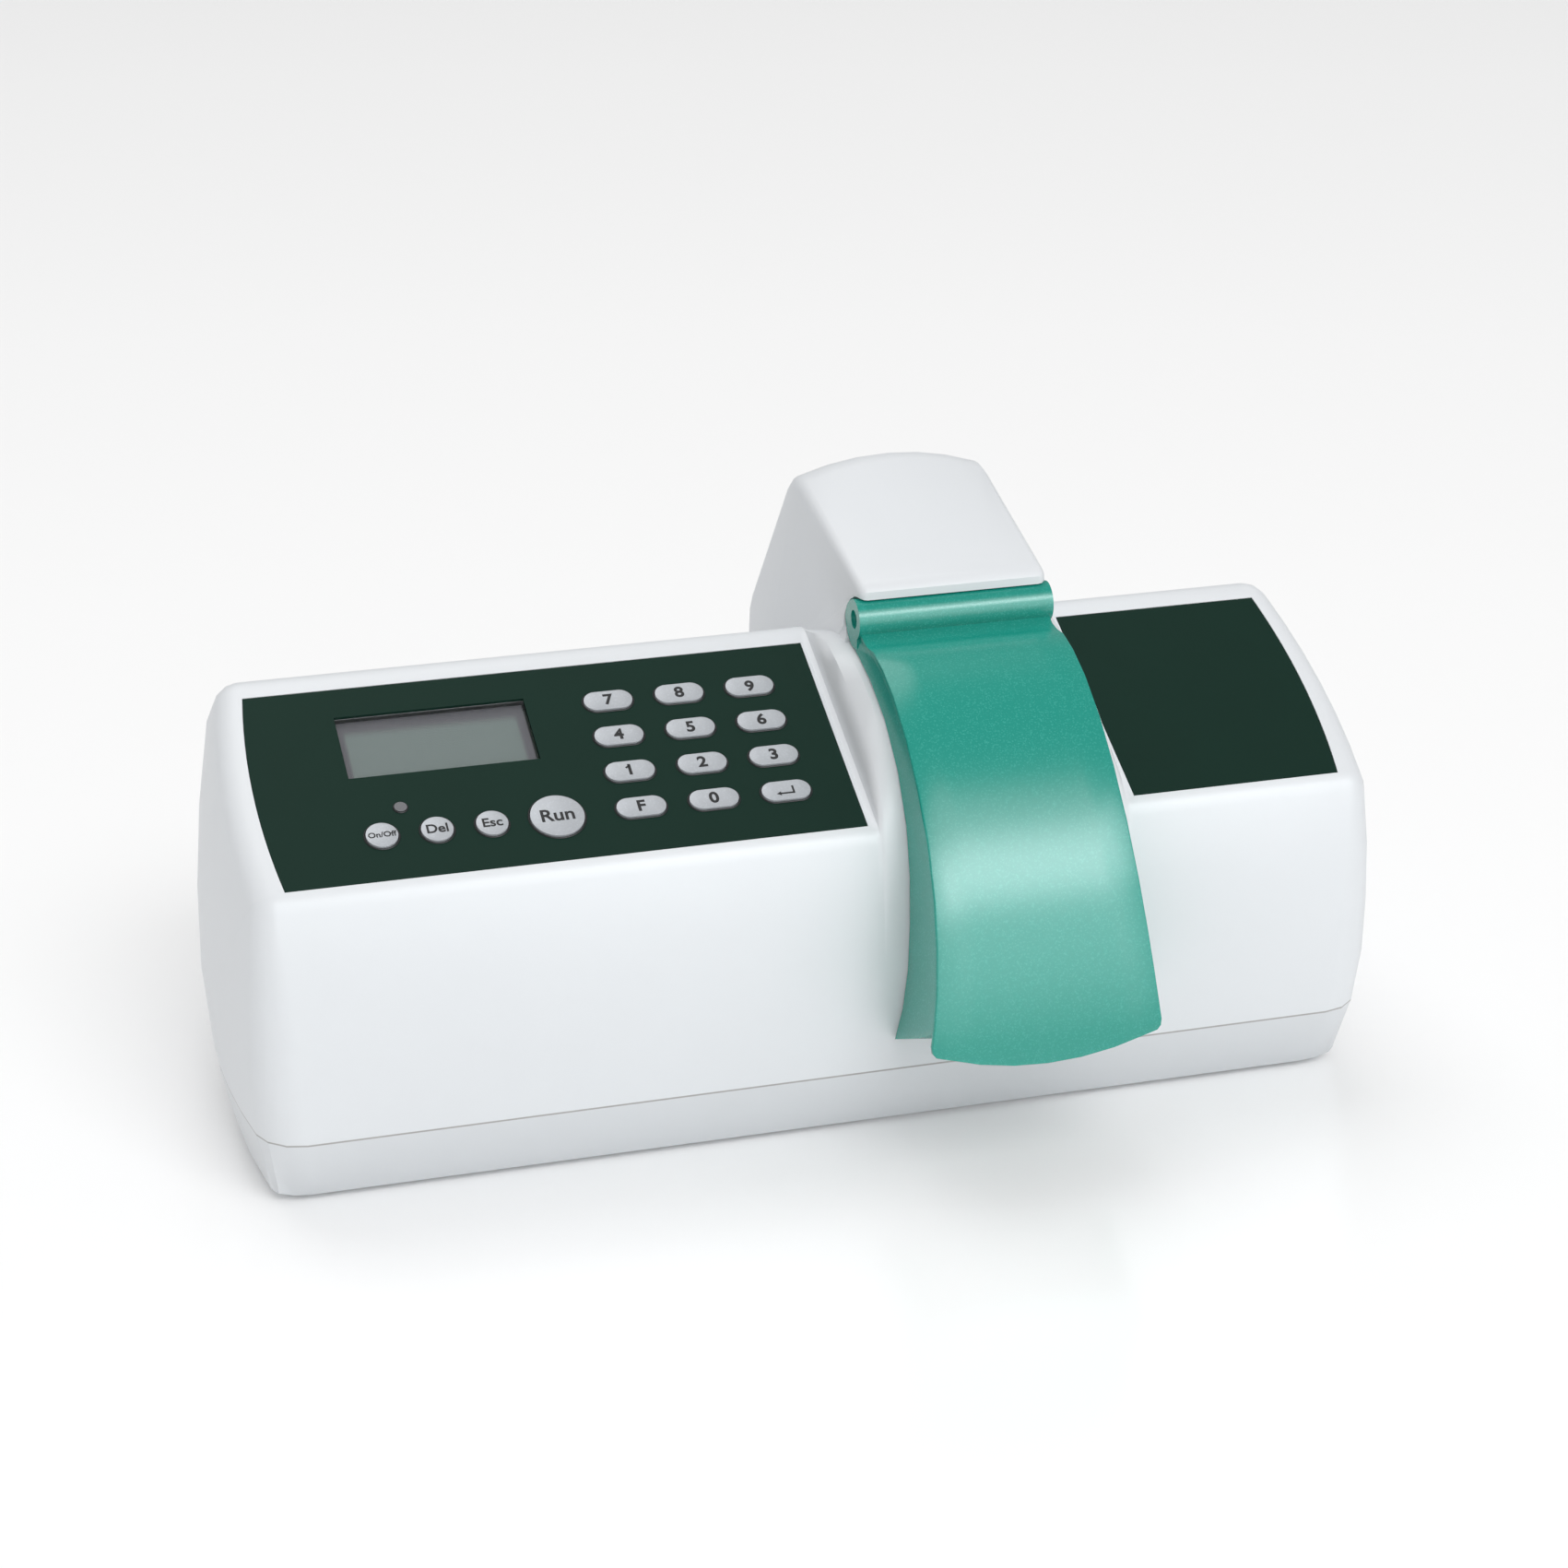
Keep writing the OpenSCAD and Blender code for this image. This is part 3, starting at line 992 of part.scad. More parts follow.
module board_screws() color("#b9bcc0") centred() {
    for (q = main_posts) translate([q[0], q[1], post_z + board_t]) mirror([0, 0, 1])
        screw(board_screw_d, 8, 2);
    on_panel() for (q = post_places) translate([q[0], q[1], board_top - board_t])
        screw(board_screw_d, 4.4, 2);
}

upper_housing();
lower_housing();
control_panel();
right_plate();
display_window();
display_module();
keypad_board();
status_lamp();
for (d = [0:9]) oval_key(digit_place(d));
oval_key(grid_place(0, 0));  // key_f
oval_key(grid_place(2, 0));  // key_enter
round_key([run_x, key_row_y], run_d);  // key_run
round_key(small_place(0), small_key_d);  // key_esc
round_key(small_place(1), small_key_d);  // key_del
round_key(small_place(2), small_key_d);  // key_power
lid();
lid_hinge_pin();
lid_magnet();
lid_sensor();
bay_tray();
chassis();
drive_bracket();
guide_rods();
plunger();
lead_screw();
drive_motor();
light_board();
emission_filter();
lens_barrel();
camera_board();
main_board();
board_screws();
chassis_screws();
keypad_ribbon();
power_inlet();
data_socket();
rubber_feet();
base_screws();
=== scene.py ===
# %% [markdown]
# # A benchtop cell counter
#
# The instrument is a long white plastic housing with a sloping panel, a raised tower behind the
# middle, and a curved green cover that is hinged in front of the tower. Its construction comes
# ready made, as a frame of solid pieces in metres. This lesson gives those pieces their looks:
# smooth moulded shells, a pearl paint for the cover, lettered keys and soft studio light.

# %% Load the frame
import json
import math

import bpy
from mathutils import Matrix, Vector


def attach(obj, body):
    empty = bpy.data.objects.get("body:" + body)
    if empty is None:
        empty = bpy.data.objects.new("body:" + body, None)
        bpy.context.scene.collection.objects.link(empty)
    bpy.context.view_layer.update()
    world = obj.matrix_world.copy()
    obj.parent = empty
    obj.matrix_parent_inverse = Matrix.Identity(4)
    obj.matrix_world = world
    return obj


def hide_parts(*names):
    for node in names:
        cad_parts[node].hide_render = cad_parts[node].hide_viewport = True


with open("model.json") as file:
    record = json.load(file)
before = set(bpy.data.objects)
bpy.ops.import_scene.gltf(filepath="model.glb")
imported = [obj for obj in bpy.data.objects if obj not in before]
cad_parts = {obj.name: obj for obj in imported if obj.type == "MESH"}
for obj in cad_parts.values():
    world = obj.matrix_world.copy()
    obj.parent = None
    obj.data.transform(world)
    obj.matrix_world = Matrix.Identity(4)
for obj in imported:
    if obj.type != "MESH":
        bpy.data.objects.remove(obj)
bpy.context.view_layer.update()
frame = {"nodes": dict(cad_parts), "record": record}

nodes = frame["nodes"]
bodies_of = {node: body for body, members in frame["record"]["behaviour"]["bodies"].items()
             for node in members}
slots_of = {row["node"]: row["material_slot"] for row in frame["record"]["subparts"]}

# %% [markdown]
# ## The camera
#
# A long lens from a little over a metre away keeps the long edges of the instrument nearly
# parallel. The camera stands to the left of the middle and looks down at about 23 degrees.

# %% Camera
MM = 0.001
CAMERA_PLACE = Vector((-0.3011, -1.0643, 0.5605))
CAMERA_TURN = math.radians(15.985)
CAMERA_DOWN = math.radians(22.704)
LENS_MM = 83.3
SENSOR_MM = 36

view_direction = Vector((math.sin(CAMERA_TURN) * math.cos(CAMERA_DOWN),
                         math.cos(CAMERA_TURN) * math.cos(CAMERA_DOWN),
                         -math.sin(CAMERA_DOWN)))
camera_data = bpy.data.cameras.new("camera")
camera_data.lens = LENS_MM
camera_data.sensor_width = SENSOR_MM
camera_data.sensor_fit = "HORIZONTAL"
camera_data.clip_end = 50
camera = bpy.data.objects.new("camera", camera_data)
camera.location = CAMERA_PLACE
camera.rotation_euler = view_direction.to_track_quat("-Z", "Y").to_euler()
bpy.context.scene.collection.objects.link(camera)
bpy.context.scene.camera = camera
bpy.context.scene.view_settings.view_transform = "Standard"
print("camera looks along", [round(c, 3) for c in view_direction])

# %% [markdown]
# ## The panel's own frame of reference
#
# Everything on the control panel is placed by three numbers: across the body, up the slope, and
# out of the face. The slope is 24 degrees, so one small function turns them into a place.

# %% Places on the panel
PANEL_SLOPE = math.radians(24)
PANEL_LOW_Y = (47.7 - 115) * MM          # the panel's lower edge, from the middle of the depth
PANEL_LOW_Z = 109.1 * MM
OVERLAY_TOP = -0.1                       # mm, the printed overlay's face
KEY_TOP = OVERLAY_TOP + 0.8
KEY_LEFT, KEY_ROW = -57, 18.5            # mm, the first number key
KEY_PITCH_X, KEY_PITCH_Y = 23.5, 15.8
KEY_LENGTH, KEY_WIDTH = 16.4, 8.6
RUN_X, RUN_WIDTH = -83.8, 17.6
SMALL_X, SMALL_PITCH, SMALL_WIDTH = -104.4, 17.2, 10.6
LAMP_PLACE, LAMP_WIDTH = (-131, 29.6), 4
LCD_LEFT, LCD_LOW, LCD_WIDTH, LCD_HEIGHT = -144.7, 44.1, 61, 27


def on_panel(across, up, out):
    """A place on the panel, given in mm, as a point of the frame in metres."""
    slope_cos, slope_sin = math.cos(PANEL_SLOPE), math.sin(PANEL_SLOPE)
    return Vector((across * MM,
                   PANEL_LOW_Y + (up * slope_cos - out * slope_sin) * MM,
                   PANEL_LOW_Z + (up * slope_sin + out * slope_cos) * MM))


def grid_place(column, row):
    return KEY_LEFT + column * KEY_PITCH_X, KEY_ROW + row * KEY_PITCH_Y


key_places = {f"key_{digit}": grid_place((digit - 1) % 3, 1 + (digit - 1) // 3)
              for digit in range(1, 10)}
key_places.update({name: grid_place(column, 0)
                   for column, name in enumerate(("key_f", "key_0", "key_enter"))})
round_keys = {"key_run": ((RUN_X, KEY_ROW), RUN_WIDTH)}
for step, name in enumerate(("key_esc", "key_del", "key_power")):
    round_keys[name] = ((SMALL_X - step * SMALL_PITCH, KEY_ROW), SMALL_WIDTH)
print(len(key_places) + len(round_keys), "keys")

# %% [markdown]
# ## Colours
#
# Colours are written as they look on a screen, from 0 to 255, and turned into the linear values
# that a shader works in.


# %% Colour helper
def screen_colour(red, green, blue):
    """A colour as seen on a screen, 0 to 255, in the linear values of a shader."""
    def linear(value):
        share = value / 255
        return share / 12.92 if share <= 0.04045 else ((share + 0.055) / 1.055) ** 2.4
    return (linear(red), linear(green), linear(blue), 1)


print("mid grey is", [round(value, 3) for value in screen_colour(128, 128, 128)])

# %% [markdown]
# ## Shared surface effects
#
# Each effect is a node group that reads the object's own coordinates and gives out masks and
# heights. A material then decides what they do to its colour, roughness and relief. The first
# one is the fine grain of a moulded surface.


# %% Tools for building node groups
def new_group(name, *outputs):
    group = bpy.data.node_groups.new(name, "ShaderNodeTree")
    for label in outputs:
        group.interface.new_socket(label, in_out="OUTPUT", socket_type="NodeSocketFloat")
    end = group.nodes.new("NodeGroupOutput")
    place = group.nodes.new("ShaderNodeTexCoord").outputs["Object"]
    return group, end, place


def add(tree, kind, inputs=(), **settings):
    """A node with its settings, and its inputs given as values or as other nodes' sockets."""
    node = tree.nodes.new(kind)
    for key, value in settings.items():
        setattr(node, key, value)
    for socket, value in dict(inputs).items():
        if isinstance(value, bpy.types.NodeSocket):
            tree.links.new(value, node.inputs[socket])
        else:
            node.inputs[socket].default_value = value
    return node


def arithmetic(tree, operation, *values, clamp=False):
    return add(tree, "ShaderNodeMath", {i: v for i, v in enumerate(values)},
               operation=operation, use_clamp=clamp).outputs[0]


def stretched(tree, place, scale):
    return add(tree, "ShaderNodeMapping", {"Vector": place, "Scale": scale}).outputs["Vector"]


# %% Grain of a moulded surface
grain, end, place = new_group("moulded_grain", "Tone", "Height")
broad = add(grain, "ShaderNodeTexNoise", {"Vector": place, "Scale": 45, "Detail": 2})
fine = add(grain, "ShaderNodeTexNoise", {"Vector": place, "Scale": 2600, "Detail": 1})
grain.links.new(broad.outputs["Fac"], end.inputs["Tone"])
grain.links.new(fine.outputs["Fac"], end.inputs["Height"])
print("group", grain.name, "with", len(grain.nodes), "nodes")

# %% [markdown]
# Brushed metal is the same noise, stretched a hundredfold along the brush's way. Pearl paint has
# small flakes that each catch the light differently.

# %% Brushed metal and pearl flakes
brushed, end, place = new_group("brushed_lines", "Tone", "Height")
lines = add(brushed, "ShaderNodeTexNoise",
            {"Vector": stretched(brushed, place, (12, 1100, 1100)), "Scale": 1, "Detail": 3})
brushed.links.new(lines.outputs["Fac"], end.inputs["Tone"])
brushed.links.new(lines.outputs["Fac"], end.inputs["Height"])

flakes, end, place = new_group("pearl_flakes", "Flake", "Tilt")
cells = add(flakes, "ShaderNodeTexVoronoi", {"Vector": place, "Scale": 2600})
chance = add(flakes, "ShaderNodeSeparateColor", {"Color": cells.outputs["Color"]})
bright = add(flakes, "ShaderNodeMapRange",
             {"Value": chance.outputs["Red"], "From Min": 0.72, "From Max": 1})
flakes.links.new(bright.outputs["Result"], end.inputs["Flake"])
flakes.links.new(chance.outputs["Green"], end.inputs["Tilt"])
print("groups", brushed.name, "and", flakes.name)

# %% [markdown]
# The two housings meet along a fine dark line. The display has a shaded border, deepest at the
# top, where its frame keeps the light off. Both are masks worked out from the place on the object.

# %% Housing seam and display field
SEAM_Z = 25.8 * MM
SEAM_HALF = 0.22 * MM
seam, end, place = new_group("housing_seam", "Line")
height = add(seam, "ShaderNodeSeparateXYZ", {"Vector": place}).outputs["Z"]
distance = arithmetic(seam, "ABSOLUTE", arithmetic(seam, "SUBTRACT", height, SEAM_Z))
line = add(seam, "ShaderNodeMapRange", {"Value": distance, "From Min": SEAM_HALF,
                                        "From Max": 2 * SEAM_HALF, "To Min": 1, "To Max": 0})
seam.links.new(line.outputs["Result"], end.inputs["Line"])

field, end, place = new_group("display_field", "Lit", "Cell")
across = add(field, "ShaderNodeSeparateXYZ", {"Vector": place}).outputs["X"]
up_direction = (0, math.cos(PANEL_SLOPE), math.sin(PANEL_SLOPE))
low_corner = Vector(up_direction).dot(on_panel(0, 0, 0))
climb = add(field, "ShaderNodeVectorMath", {0: place, 1: up_direction}, operation="DOT_PRODUCT")
up = arithmetic(field, "SUBTRACT", climb.outputs["Value"], low_corner)


def edge(socket, start, finish):
    """0 at start and 1 at finish, both in mm, smooth between them."""
    ramp = add(field, "ShaderNodeMapRange", {"Value": socket, "From Min": start * MM,
               "From Max": finish * MM}, interpolation_type="SMOOTHSTEP")
    return ramp.outputs["Result"]


LCD_RIGHT, LCD_HIGH = LCD_LEFT + LCD_WIDTH, LCD_LOW + LCD_HEIGHT
from_left = edge(across, LCD_LEFT + 1.6, LCD_LEFT + 3)
from_right = arithmetic(field, "SUBTRACT", 1, edge(across, LCD_RIGHT - 4.4, LCD_RIGHT - 2.4))
from_top = arithmetic(field, "SUBTRACT", 1, edge(up, LCD_HIGH - 8, LCD_HIGH - 3.4))
sides = arithmetic(field, "MULTIPLY", from_left, from_right)
field.links.new(arithmetic(field, "MULTIPLY", sides, from_top), end.inputs["Lit"])
cell_place = add(field, "ShaderNodeCombineXYZ", {"X": across, "Y": up}).outputs["Vector"]
cells = add(field, "ShaderNodeTexBrick", {"Vector": cell_place, "Scale": 1 / (3.4 * MM),
            "Brick Width": 1, "Row Height": 1.9, "Mortar Size": 0.09, "Mortar Smooth": 0.4},
            offset=0)
field.links.new(cells.outputs["Fac"], end.inputs["Cell"])
print("groups", seam.name, "and", field.name)

# %% [markdown]
# Circuit boards show their copper as straight tracks under the green varnish.

# %% Circuit tracks
tracks, end, place = new_group("circuit_tracks", "Track")
grid = add(tracks, "ShaderNodeTexBrick", {"Vector": place, "Scale": 260, "Brick Width": 1.7,
           "Row Height": 0.45, "Mortar Size": 0.05, "Mortar Smooth": 0.1}, offset=0.35)
tracks.links.new(grid.outputs["Fac"], end.inputs["Track"])
print("group", tracks.name)

# %% [markdown]
# ## Materials
#
# One function makes every material: a colour that varies a little, a roughness, and a fine
# relief, all driven by one of the groups. The special ones get one more step each.


# %% Material function
def surface(name, colour, rough, effect=grain, vary=0.06, relief=0.02, **sockets):
    """A material whose colour and relief follow an effect. Other sockets are given by name."""
    material = bpy.data.materials.new(name)
    material.use_nodes = True
    tree = material.node_tree
    shader = tree.nodes["Principled BSDF"]
    group = add(tree, "ShaderNodeGroup", node_tree=effect)
    tone, height = group.outputs[0], group.outputs[-1]
    dark = [channel * (1 - vary) for channel in colour[:3]] + [1]
    mix = add(tree, "ShaderNodeMix", {"Factor": tone}, data_type="RGBA")
    mix.inputs["A"].default_value = dark
    mix.inputs["B"].default_value = colour
    tree.links.new(mix.outputs["Result"], shader.inputs["Base Color"])
    bump = add(tree, "ShaderNodeBump", {"Height": height, "Strength": relief, "Distance": 0.0002})
    tree.links.new(bump.outputs["Normal"], shader.inputs["Normal"])
    shader.inputs["Roughness"].default_value = rough
    for socket, value in sockets.items():
        shader.inputs[socket.replace("_", " ").title().replace("Ior", "IOR")].default_value = value
    return material


def overlay(material, effect, output, colour, factor=1.0):
    """Lays another colour over a material's own, where the effect's mask says."""
    tree = material.node_tree
    base = tree.nodes["Principled BSDF"].inputs["Base Color"]
    below = base.links[0].from_socket
    group = add(tree, "ShaderNodeGroup", node_tree=effect)
    amount = arithmetic(tree, "MULTIPLY", group.outputs[output], factor)
    mix = add(tree, "ShaderNodeMix", {"Factor": amount}, data_type="RGBA")
    tree.links.new(below, mix.inputs["A"])
    mix.inputs["B"].default_value = colour
    tree.links.new(mix.outputs["Result"], base)


# %% Plastics
look = {
    "white_plastic": surface("white_plastic", screen_colour(223, 226, 229), 0.42, vary=0.02),
    "grey_plastic": surface("grey_plastic", screen_colour(218, 221, 224), 0.42, vary=0.02),
    "cover_green": surface("cover_green", screen_colour(20, 150, 134), 0.26, flakes, vary=0.08,
                           relief=0.014, coat_weight=0.2, coat_roughness=0.2,
                           specular_ior_level=0.42),
    "panel_green": surface("panel_green", screen_colour(10, 44, 34), 0.5, vary=0.12,
                           specular_ior_level=0.12),
    "key_silver": surface("key_silver", screen_colour(186, 190, 195), 0.38, flakes, vary=0.1,
                          relief=0.02, metallic=0.25),
    "lamp": surface("lamp", screen_colour(62, 64, 70), 0.2, vary=0.2, coat_weight=0.5),
    "tray_black": surface("tray_black", screen_colour(52, 54, 58), 0.55, vary=0.2, relief=0.1),
    "plunger_plastic": surface("plunger_plastic", screen_colour(226, 227, 228), 0.45),
    "inlet_black": surface("inlet_black", screen_colour(38, 38, 41), 0.45, vary=0.2),
    "foot_rubber": surface("foot_rubber", screen_colour(34, 34, 36), 0.8, vary=0.3, relief=0.2),
    "ribbon_grey": surface("ribbon_grey", screen_colour(200, 201, 203), 0.55, brushed, vary=0.25),
    "lens_black": surface("lens_black", screen_colour(40, 41, 44), 0.5, vary=0.2, metallic=0.6),
    "motor_dark": surface("motor_dark", screen_colour(70, 74, 80), 0.45, vary=0.2, relief=0.08),
}
overlay(look["white_plastic"], seam, "Line", screen_colour(132, 126, 120), 0.7)
overlay(look["grey_plastic"], seam, "Line", screen_colour(132, 126, 120), 0.7)
overlay(look["cover_green"], flakes, "Flake", screen_colour(110, 205, 192), 0.14)
print(len(look), "plastics")

# %% [markdown]
# The display's face is grey-green where it is lit and a cooler dark grey at its borders. Its
# character cells only just show while it is off. A thin clear window lies over it.

# %% Display and glass
display_face = surface("display_body", screen_colour(102, 101, 108), 0.5)
overlay(display_face, field, "Lit", screen_colour(124, 139, 136))
overlay(display_face, field, "Cell", screen_colour(104, 110, 112), 0.06)
look["display_body"] = display_face
look["display_glass"] = surface("display_glass", screen_colour(70, 76, 78), 0.12, relief=0.0,
                                alpha=0.12)
look["filter_glass"] = surface("filter_glass", screen_colour(196, 112, 84), 0.1, alpha=0.75,
                               coat_weight=0.5)

# %% Metals and boards
look["chassis_steel"] = surface("chassis_steel", screen_colour(206, 209, 212), 0.4, brushed,
                                vary=0.25, relief=0.12, metallic=0.9)
look["bright_steel"] = surface("bright_steel", screen_colour(220, 222, 225), 0.22, brushed,
                               vary=0.15, relief=0.05, metallic=1.0)
look["screw_steel"] = surface("screw_steel", screen_colour(186, 188, 192), 0.3, brushed,
                              vary=0.25, relief=0.08, metallic=1.0)
look["magnet"] = surface("magnet", screen_colour(176, 178, 182), 0.3, vary=0.2, metallic=0.9)
look["circuit_board"] = surface("circuit_board", screen_colour(46, 104, 68), 0.35, vary=0.2,
                                coat_weight=0.3)
overlay(look["circuit_board"], tracks, "Track", screen_colour(96, 142, 84), 0.6)
print(len(look), "materials for", len(set(slots_of.values())), "slots")

# %% [markdown]
# ## Smooth shells
#
# The construction model is made of flat facets. A copy of each piece, with its doubled points
# merged, can be shaded smoothly wherever two facets meet at a shallow angle. The copy then stands
# for the piece. Keys also get a rounded rim, as a moulded key has.


# %% Copy function
def select_only(item):
    bpy.ops.object.select_all(action="DESELECT")
    item.select_set(True)
    bpy.context.view_layer.objects.active = item


def merge_points():
    bpy.ops.object.mode_set(mode="EDIT")
    bpy.ops.mesh.select_all(action="SELECT")
    bpy.ops.mesh.remove_doubles(threshold=0.001 * MM)
    bpy.ops.object.mode_set(mode="OBJECT")


def smooth_copy(node, angle=35, rim=0.0):
    """A smoothly shaded copy of a construction piece, with rims rounded by so many mm."""
    mesh = nodes[node].data.copy()
    piece = bpy.data.objects.new(f"smooth_{node}", mesh)
    bpy.context.scene.collection.objects.link(piece)
    select_only(piece)
    bpy.ops.mesh.customdata_custom_splitnormals_clear()
    merge_points()
    if rim:
        bevel = piece.modifiers.new("rim", "BEVEL")
        bevel.width, bevel.segments, bevel.limit_method = rim * MM, 3, "ANGLE"
        bevel.angle_limit = math.radians(50)
        bpy.ops.object.modifier_apply(modifier=bevel.name)
    bpy.ops.object.shade_smooth_by_angle(angle=math.radians(angle))
    mesh.materials.clear()
    mesh.materials.append(look[slots_of[node]])
    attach(piece, bodies_of[node])
    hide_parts(node)
    return piece


# %% Copies of the curved pieces
FLAT_PIECES = {"control_panel", "right_plate", "display_window", "display_module"}
KEY_RIM = 0.35
for name, node in nodes.items():
    if name in FLAT_PIECES:
        node.data.materials.clear()
        node.data.materials.append(look[slots_of[name]])
    else:
        smooth_copy(name, rim=KEY_RIM if name.startswith("key_") else 0.0)
print(len(nodes) - len(FLAT_PIECES), "smooth copies")

# %% [markdown]
# ## Painted shade round the keys, and printed letters
#
# Each key stands in a thin black ring, painted shade for the dark gap round it. It is a fine ring
# that follows the key's edge, made from a circle whose right half is moved out to the key's length.

# %% Ink for print and for painted shade
INK_HEIGHT = 0.03
# One black serves the printed letters and the painted shade in the gaps round the keys.
ink_and_gap_shade = surface("print_and_gap_shade_black", screen_colour(20, 19, 22), 0.5, vary=0.3)


def finish_piece(item, name, body, material):
    """Names a new piece, applies its place, and gives it its body and material."""
    select_only(item)
    bpy.ops.object.transform_apply(location=True, rotation=True, scale=True)
    item.name = name
    item.data.materials.clear()
    item.data.materials.append(material)
    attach(item, body)


# %% Rings of painted shade round the keys
RING_RADIUS = 0.3


def gap_shade_ring(name, centre, width, length):
    """A thin black ring of painted shade round an oval or round key."""
    bpy.ops.object.select_all(action="DESELECT")
    bpy.ops.mesh.primitive_circle_add(vertices=64, radius=(width / 2 + 0.12) * MM,
                                      location=on_panel(*centre, OVERLAY_TOP),
                                      rotation=(PANEL_SLOPE, 0, 0))
    ring = bpy.context.object
    bpy.ops.object.mode_set(mode="EDIT")
    bpy.ops.mesh.select_mode(type="VERT")
    bpy.ops.mesh.select_all(action="DESELECT")
    bpy.ops.object.mode_set(mode="OBJECT")
    for vertex in ring.data.vertices:
        vertex.select = vertex.co.x > 1e-6
    shift = (length - width) / 2 * MM
    bpy.ops.object.mode_set(mode="EDIT")
    bpy.ops.transform.translate(value=(shift, 0, 0))
    bpy.ops.mesh.select_all(action="INVERT")
    bpy.ops.transform.translate(value=(-shift, 0, 0))
    bpy.ops.object.mode_set(mode="OBJECT")
    bpy.ops.object.convert(target="CURVE")
    ring.data.bevel_depth = RING_RADIUS * MM
    ring.data.bevel_resolution = 2
    bpy.ops.object.convert(target="MESH")
    ring = bpy.context.object
    bpy.ops.object.shade_smooth()
    finish_piece(ring, f"outline_{name}", "housing", ink_and_gap_shade)


# Black rings of painted shade round every key and round the lamp.
for name, centre in key_places.items():
    gap_shade_ring(name, centre, KEY_WIDTH, KEY_LENGTH)
for name, (centre, width) in round_keys.items():
    gap_shade_ring(name, centre, width, width)
gap_shade_ring("lamp", LAMP_PLACE, LAMP_WIDTH, LAMP_WIDTH)
print(len(key_places) + len(round_keys) + 1, "outlines")

# %% [markdown]
# Letters start as text, thickened a little to look bold, and become meshes before they are
# placed on their keys. They move with the keys.


# %% Letters
def panel_turn(degrees):
    """The rotation of a thing that lies on the panel, turned in its plane."""
    slope = Matrix.Rotation(PANEL_SLOPE, 3, "X")
    return (slope @ Matrix.Rotation(math.radians(degrees), 3, "Z")).to_euler()


def key_letters(name, words, centre, size, bold, turned=0):
    """Black letters on a key's top. size is in mm; bold widens the strokes."""
    bpy.ops.object.select_all(action="DESELECT")
    bpy.ops.object.text_add(location=on_panel(*centre, KEY_TOP + INK_HEIGHT),
                            rotation=panel_turn(turned))
    text = bpy.context.object
    text.data.body = words
    text.data.size = size * MM
    text.data.align_x = "CENTER"
    text.data.align_y = "CENTER"
    text.data.extrude = INK_HEIGHT * MM
    text.data.offset = bold * MM
    bpy.ops.object.convert(target="MESH")
    finish_piece(bpy.context.object, f"letters_{name}", name, ink_and_gap_shade)


DIGIT_SIZE, DIGIT_BOLD = 6.2, 0.186
for name, centre in key_places.items():
    if name == "key_9":
        key_letters(name, "6", centre, DIGIT_SIZE, DIGIT_BOLD, turned=180)
    elif name != "key_enter":
        key_letters(name, name[-1].upper(), centre, DIGIT_SIZE, DIGIT_BOLD)
WORDS = {"key_run": ("Run", 7.0, 0.14), "key_esc": ("Esc", 5.0, 0.1),
         "key_del": ("Del", 5.0, 0.1), "key_power": ("On/Off", 3.0, 0.06)}
for name, (words, size, bold) in WORDS.items():
    key_letters(name, words, round_keys[name][0], size, bold)
print(len(key_places) - 1 + len(round_keys), "words and digits")

# %% [markdown]
# A nine is a six turned half round. The one gets a small flag, and the enter key gets an arrow
# built from two strokes and a three-sided head.

# %% Arrow of the enter key, and the flag of the one
ARROW_WIDTH, ARROW_HEIGHT, ARROW_SHIFT = 4.6, 3.2, 0.3      # mm
STROKE, HEAD_RADIUS = 0.62, 0.9775
FLAG_PLACE, FLAG_LENGTH, FLAG_TURN = (-0.55, 1.45), 1.5, 35


def ink_stroke(name, key, across, up, width, height, turned=0):
    """One straight stroke of ink: a flat box on a key's top, placed from the key's middle."""
    key_x, key_y = key_places[key]
    bpy.ops.object.select_all(action="DESELECT")
    bpy.ops.mesh.primitive_cube_add(
        size=1, location=on_panel(key_x + across, key_y + up, KEY_TOP + INK_HEIGHT),
        rotation=panel_turn(turned))
    stroke = bpy.context.object
    stroke.scale = (width * MM, height * MM, 2 * INK_HEIGHT * MM)
    finish_piece(stroke, name, key, ink_and_gap_shade)


SHAFT_UP = -ARROW_HEIGHT / 2 + STROKE / 2
STEM_ACROSS = ARROW_SHIFT + ARROW_WIDTH / 2 - STROKE / 2
ink_stroke("arrow_shaft", "key_enter", ARROW_SHIFT, SHAFT_UP, ARROW_WIDTH, STROKE)
ink_stroke("arrow_stem", "key_enter", STEM_ACROSS, 0, STROKE, ARROW_HEIGHT)
ink_stroke("flag_of_one", "key_1", *FLAG_PLACE, FLAG_LENGTH, STROKE, turned=FLAG_TURN)
bpy.ops.object.select_all(action="DESELECT")
enter_across, enter_up = key_places["key_enter"]
tip = on_panel(enter_across - ARROW_WIDTH / 2 - 0.1, enter_up + SHAFT_UP, KEY_TOP + INK_HEIGHT)
bpy.ops.mesh.primitive_cylinder_add(vertices=3, radius=HEAD_RADIUS * MM, depth=2 * INK_HEIGHT * MM,
                                    location=tip, rotation=panel_turn(90))
finish_piece(bpy.context.object, "arrow_head", "key_enter", ink_and_gap_shade)
print("arrow of three pieces, and one flag")

# %% [markdown]
# ## Studio
#
# The instrument stands on a white floor under soft light from all round, with a broad key light
# in front and a weaker one above the back. Two rows of lamps that show only as glints give the
# cover its bright band. Rays from the camera see plain white behind the floor.


# %% Lights
GLINT_TINT = (0.9, 0.97, 1.0)


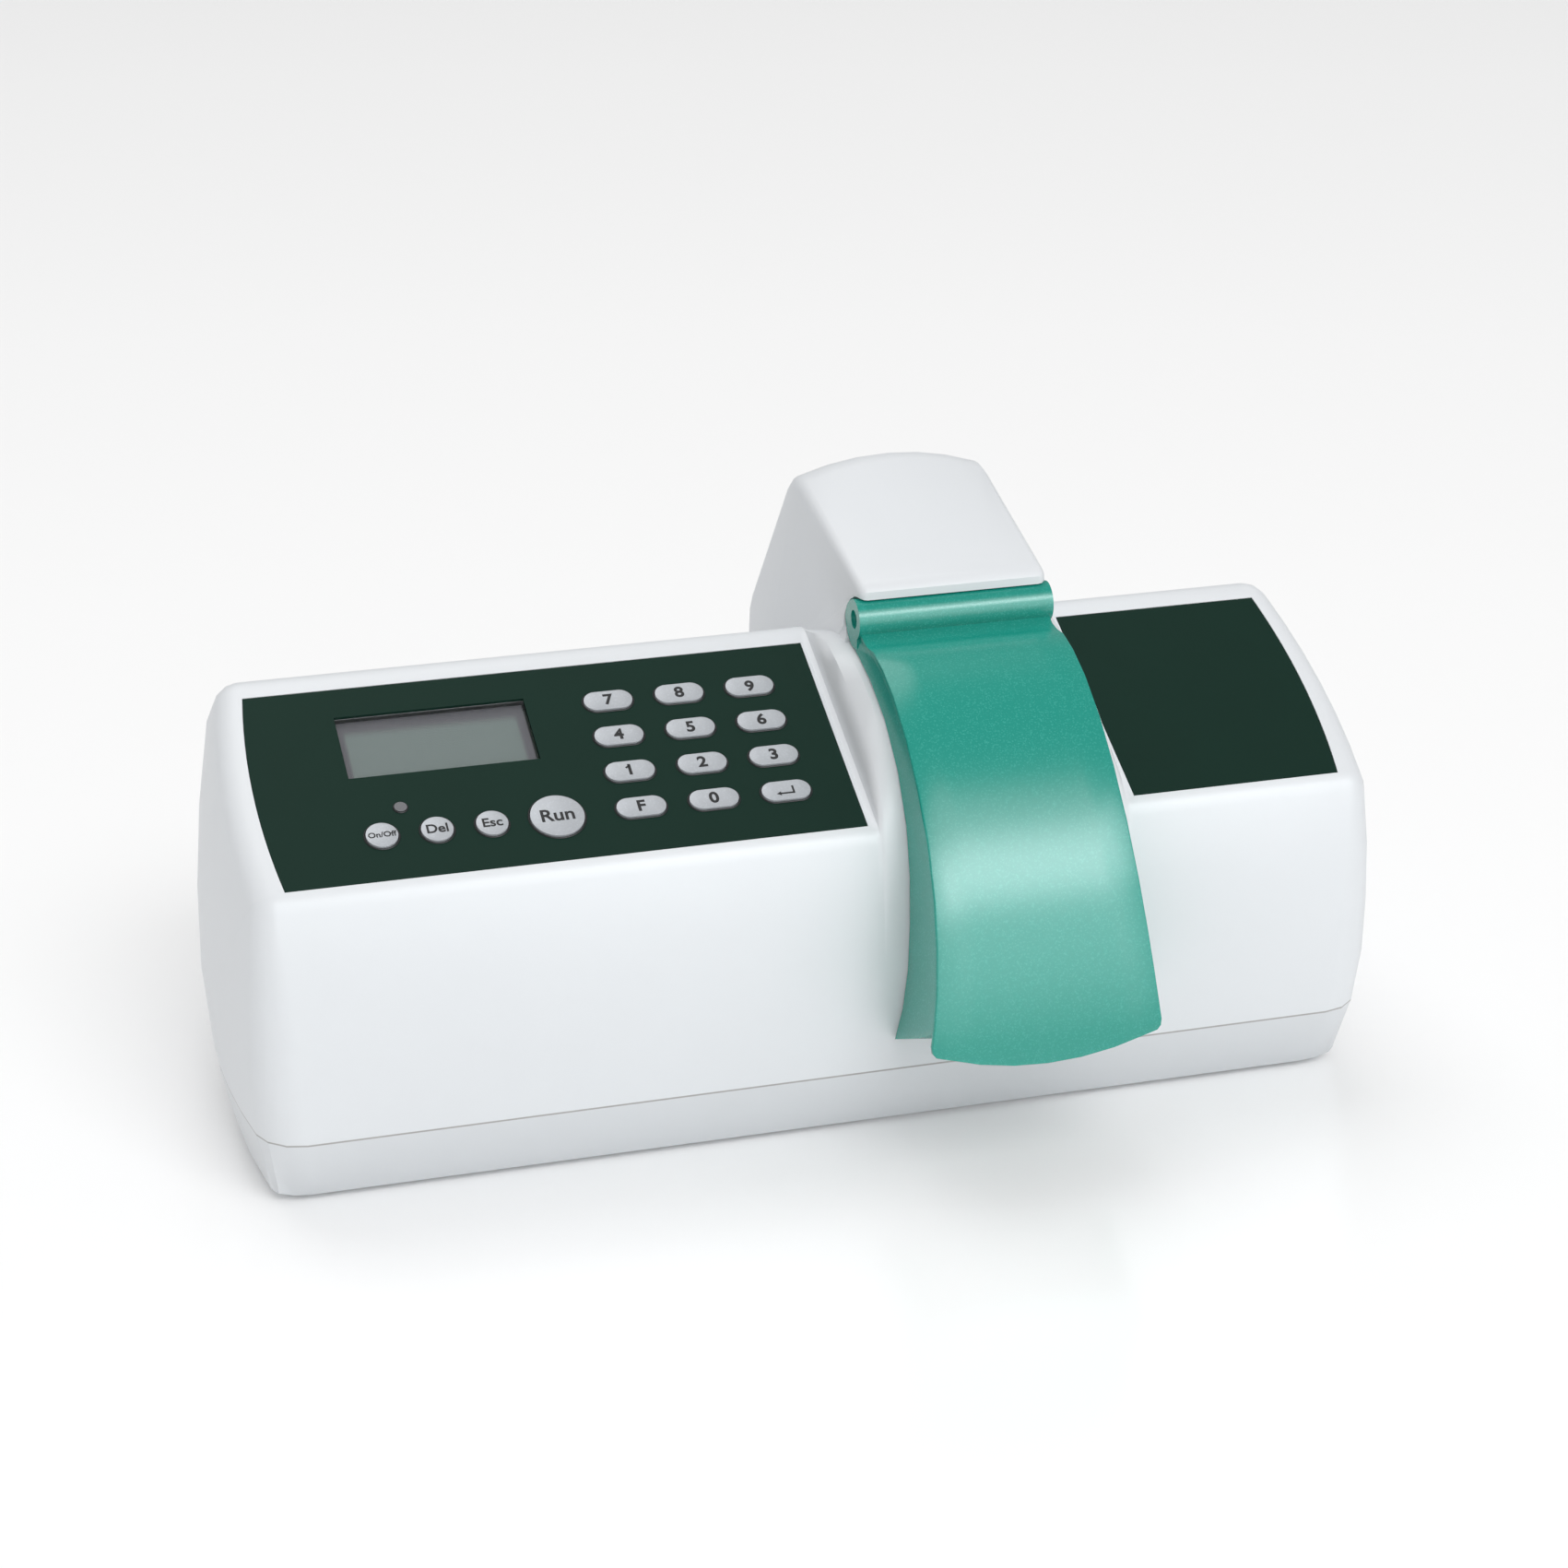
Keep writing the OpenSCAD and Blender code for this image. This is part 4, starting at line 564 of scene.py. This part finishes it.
def soft_sun(name, from_direction, strength, spread, glints_only=False):
    """A distant lamp, spread degrees wide. glints_only leaves it out of plain shading."""
    data = bpy.data.lights.new(name, "SUN")
    data.energy = strength
    data.color = GLINT_TINT if glints_only else (1, 1, 1)
    data.angle = math.radians(spread)
    lamp = bpy.data.objects.new(name, data)
    lamp.rotation_euler = (-Vector(from_direction)).to_track_quat("-Z", "Y").to_euler()
    lamp.visible_diffuse = not glints_only
    bpy.context.scene.collection.objects.link(lamp)


soft_sun("key_light", (0.16, -0.68, 0.72), 0.9, 34)
soft_sun("front_fill", (0.14, -1.0, 0.12), 0.42, 60)
soft_sun("back_light", (-0.1, 0.45, 0.89), 0.75, 40)
UPPER_FROM, UPPER_STRENGTH, UPPER_SPREAD = Vector((0.31, -0.75, 0.58)), 0.56, 20
LOWER_FROM, LOWER_STRENGTH, LOWER_SPREAD = Vector((0.32, -0.93, 0.2)), 0.5, 38
for turned in (-24, -8, 8, 24):
    turn = Matrix.Rotation(math.radians(turned), 3, "Z")
    soft_sun(f"upper_strip_{turned}", turn @ UPPER_FROM, UPPER_STRENGTH, UPPER_SPREAD,
             glints_only=True)
    soft_sun(f"lower_strip_{turned}", turn @ LOWER_FROM, LOWER_STRENGTH, LOWER_SPREAD,
             glints_only=True)
ROOM_LEVEL, MIRRORED_LEVEL = 0.62, 0.36
world = bpy.data.worlds.new("studio")
world.use_nodes = True
bpy.context.scene.world = world
sky = world.node_tree.nodes["Background"]
sky.inputs["Color"].default_value = (1, 1, 1, 1)
rays = add(world.node_tree, "ShaderNodeLightPath")
level = arithmetic(world.node_tree, "MULTIPLY_ADD", rays.outputs["Is Camera Ray"],
                   1 - ROOM_LEVEL, ROOM_LEVEL)
level = arithmetic(world.node_tree, "MULTIPLY_ADD", rays.outputs["Is Glossy Ray"],
                   MIRRORED_LEVEL - ROOM_LEVEL, level)
world.node_tree.links.new(level, sky.inputs["Strength"])
print(len(bpy.data.lights), "soft lights and a white room")

# %% Floor
FLOOR_SIZE = 12
bpy.ops.object.select_all(action="DESELECT")
bpy.ops.mesh.primitive_plane_add(size=FLOOR_SIZE, location=(0, 0, 0))
floor = bpy.context.object
floor.name = "floor"
floor_white = surface("floor_white", (0.97, 0.97, 0.97, 1), 0.16, vary=0.002, relief=0.0,
                      emission_strength=0.04)
floor_white.node_tree.nodes["Principled BSDF"].inputs["Emission Color"].default_value = (1, 1, 1, 1)
floor.data.materials.append(floor_white)
print("floor", FLOOR_SIZE, "m square")
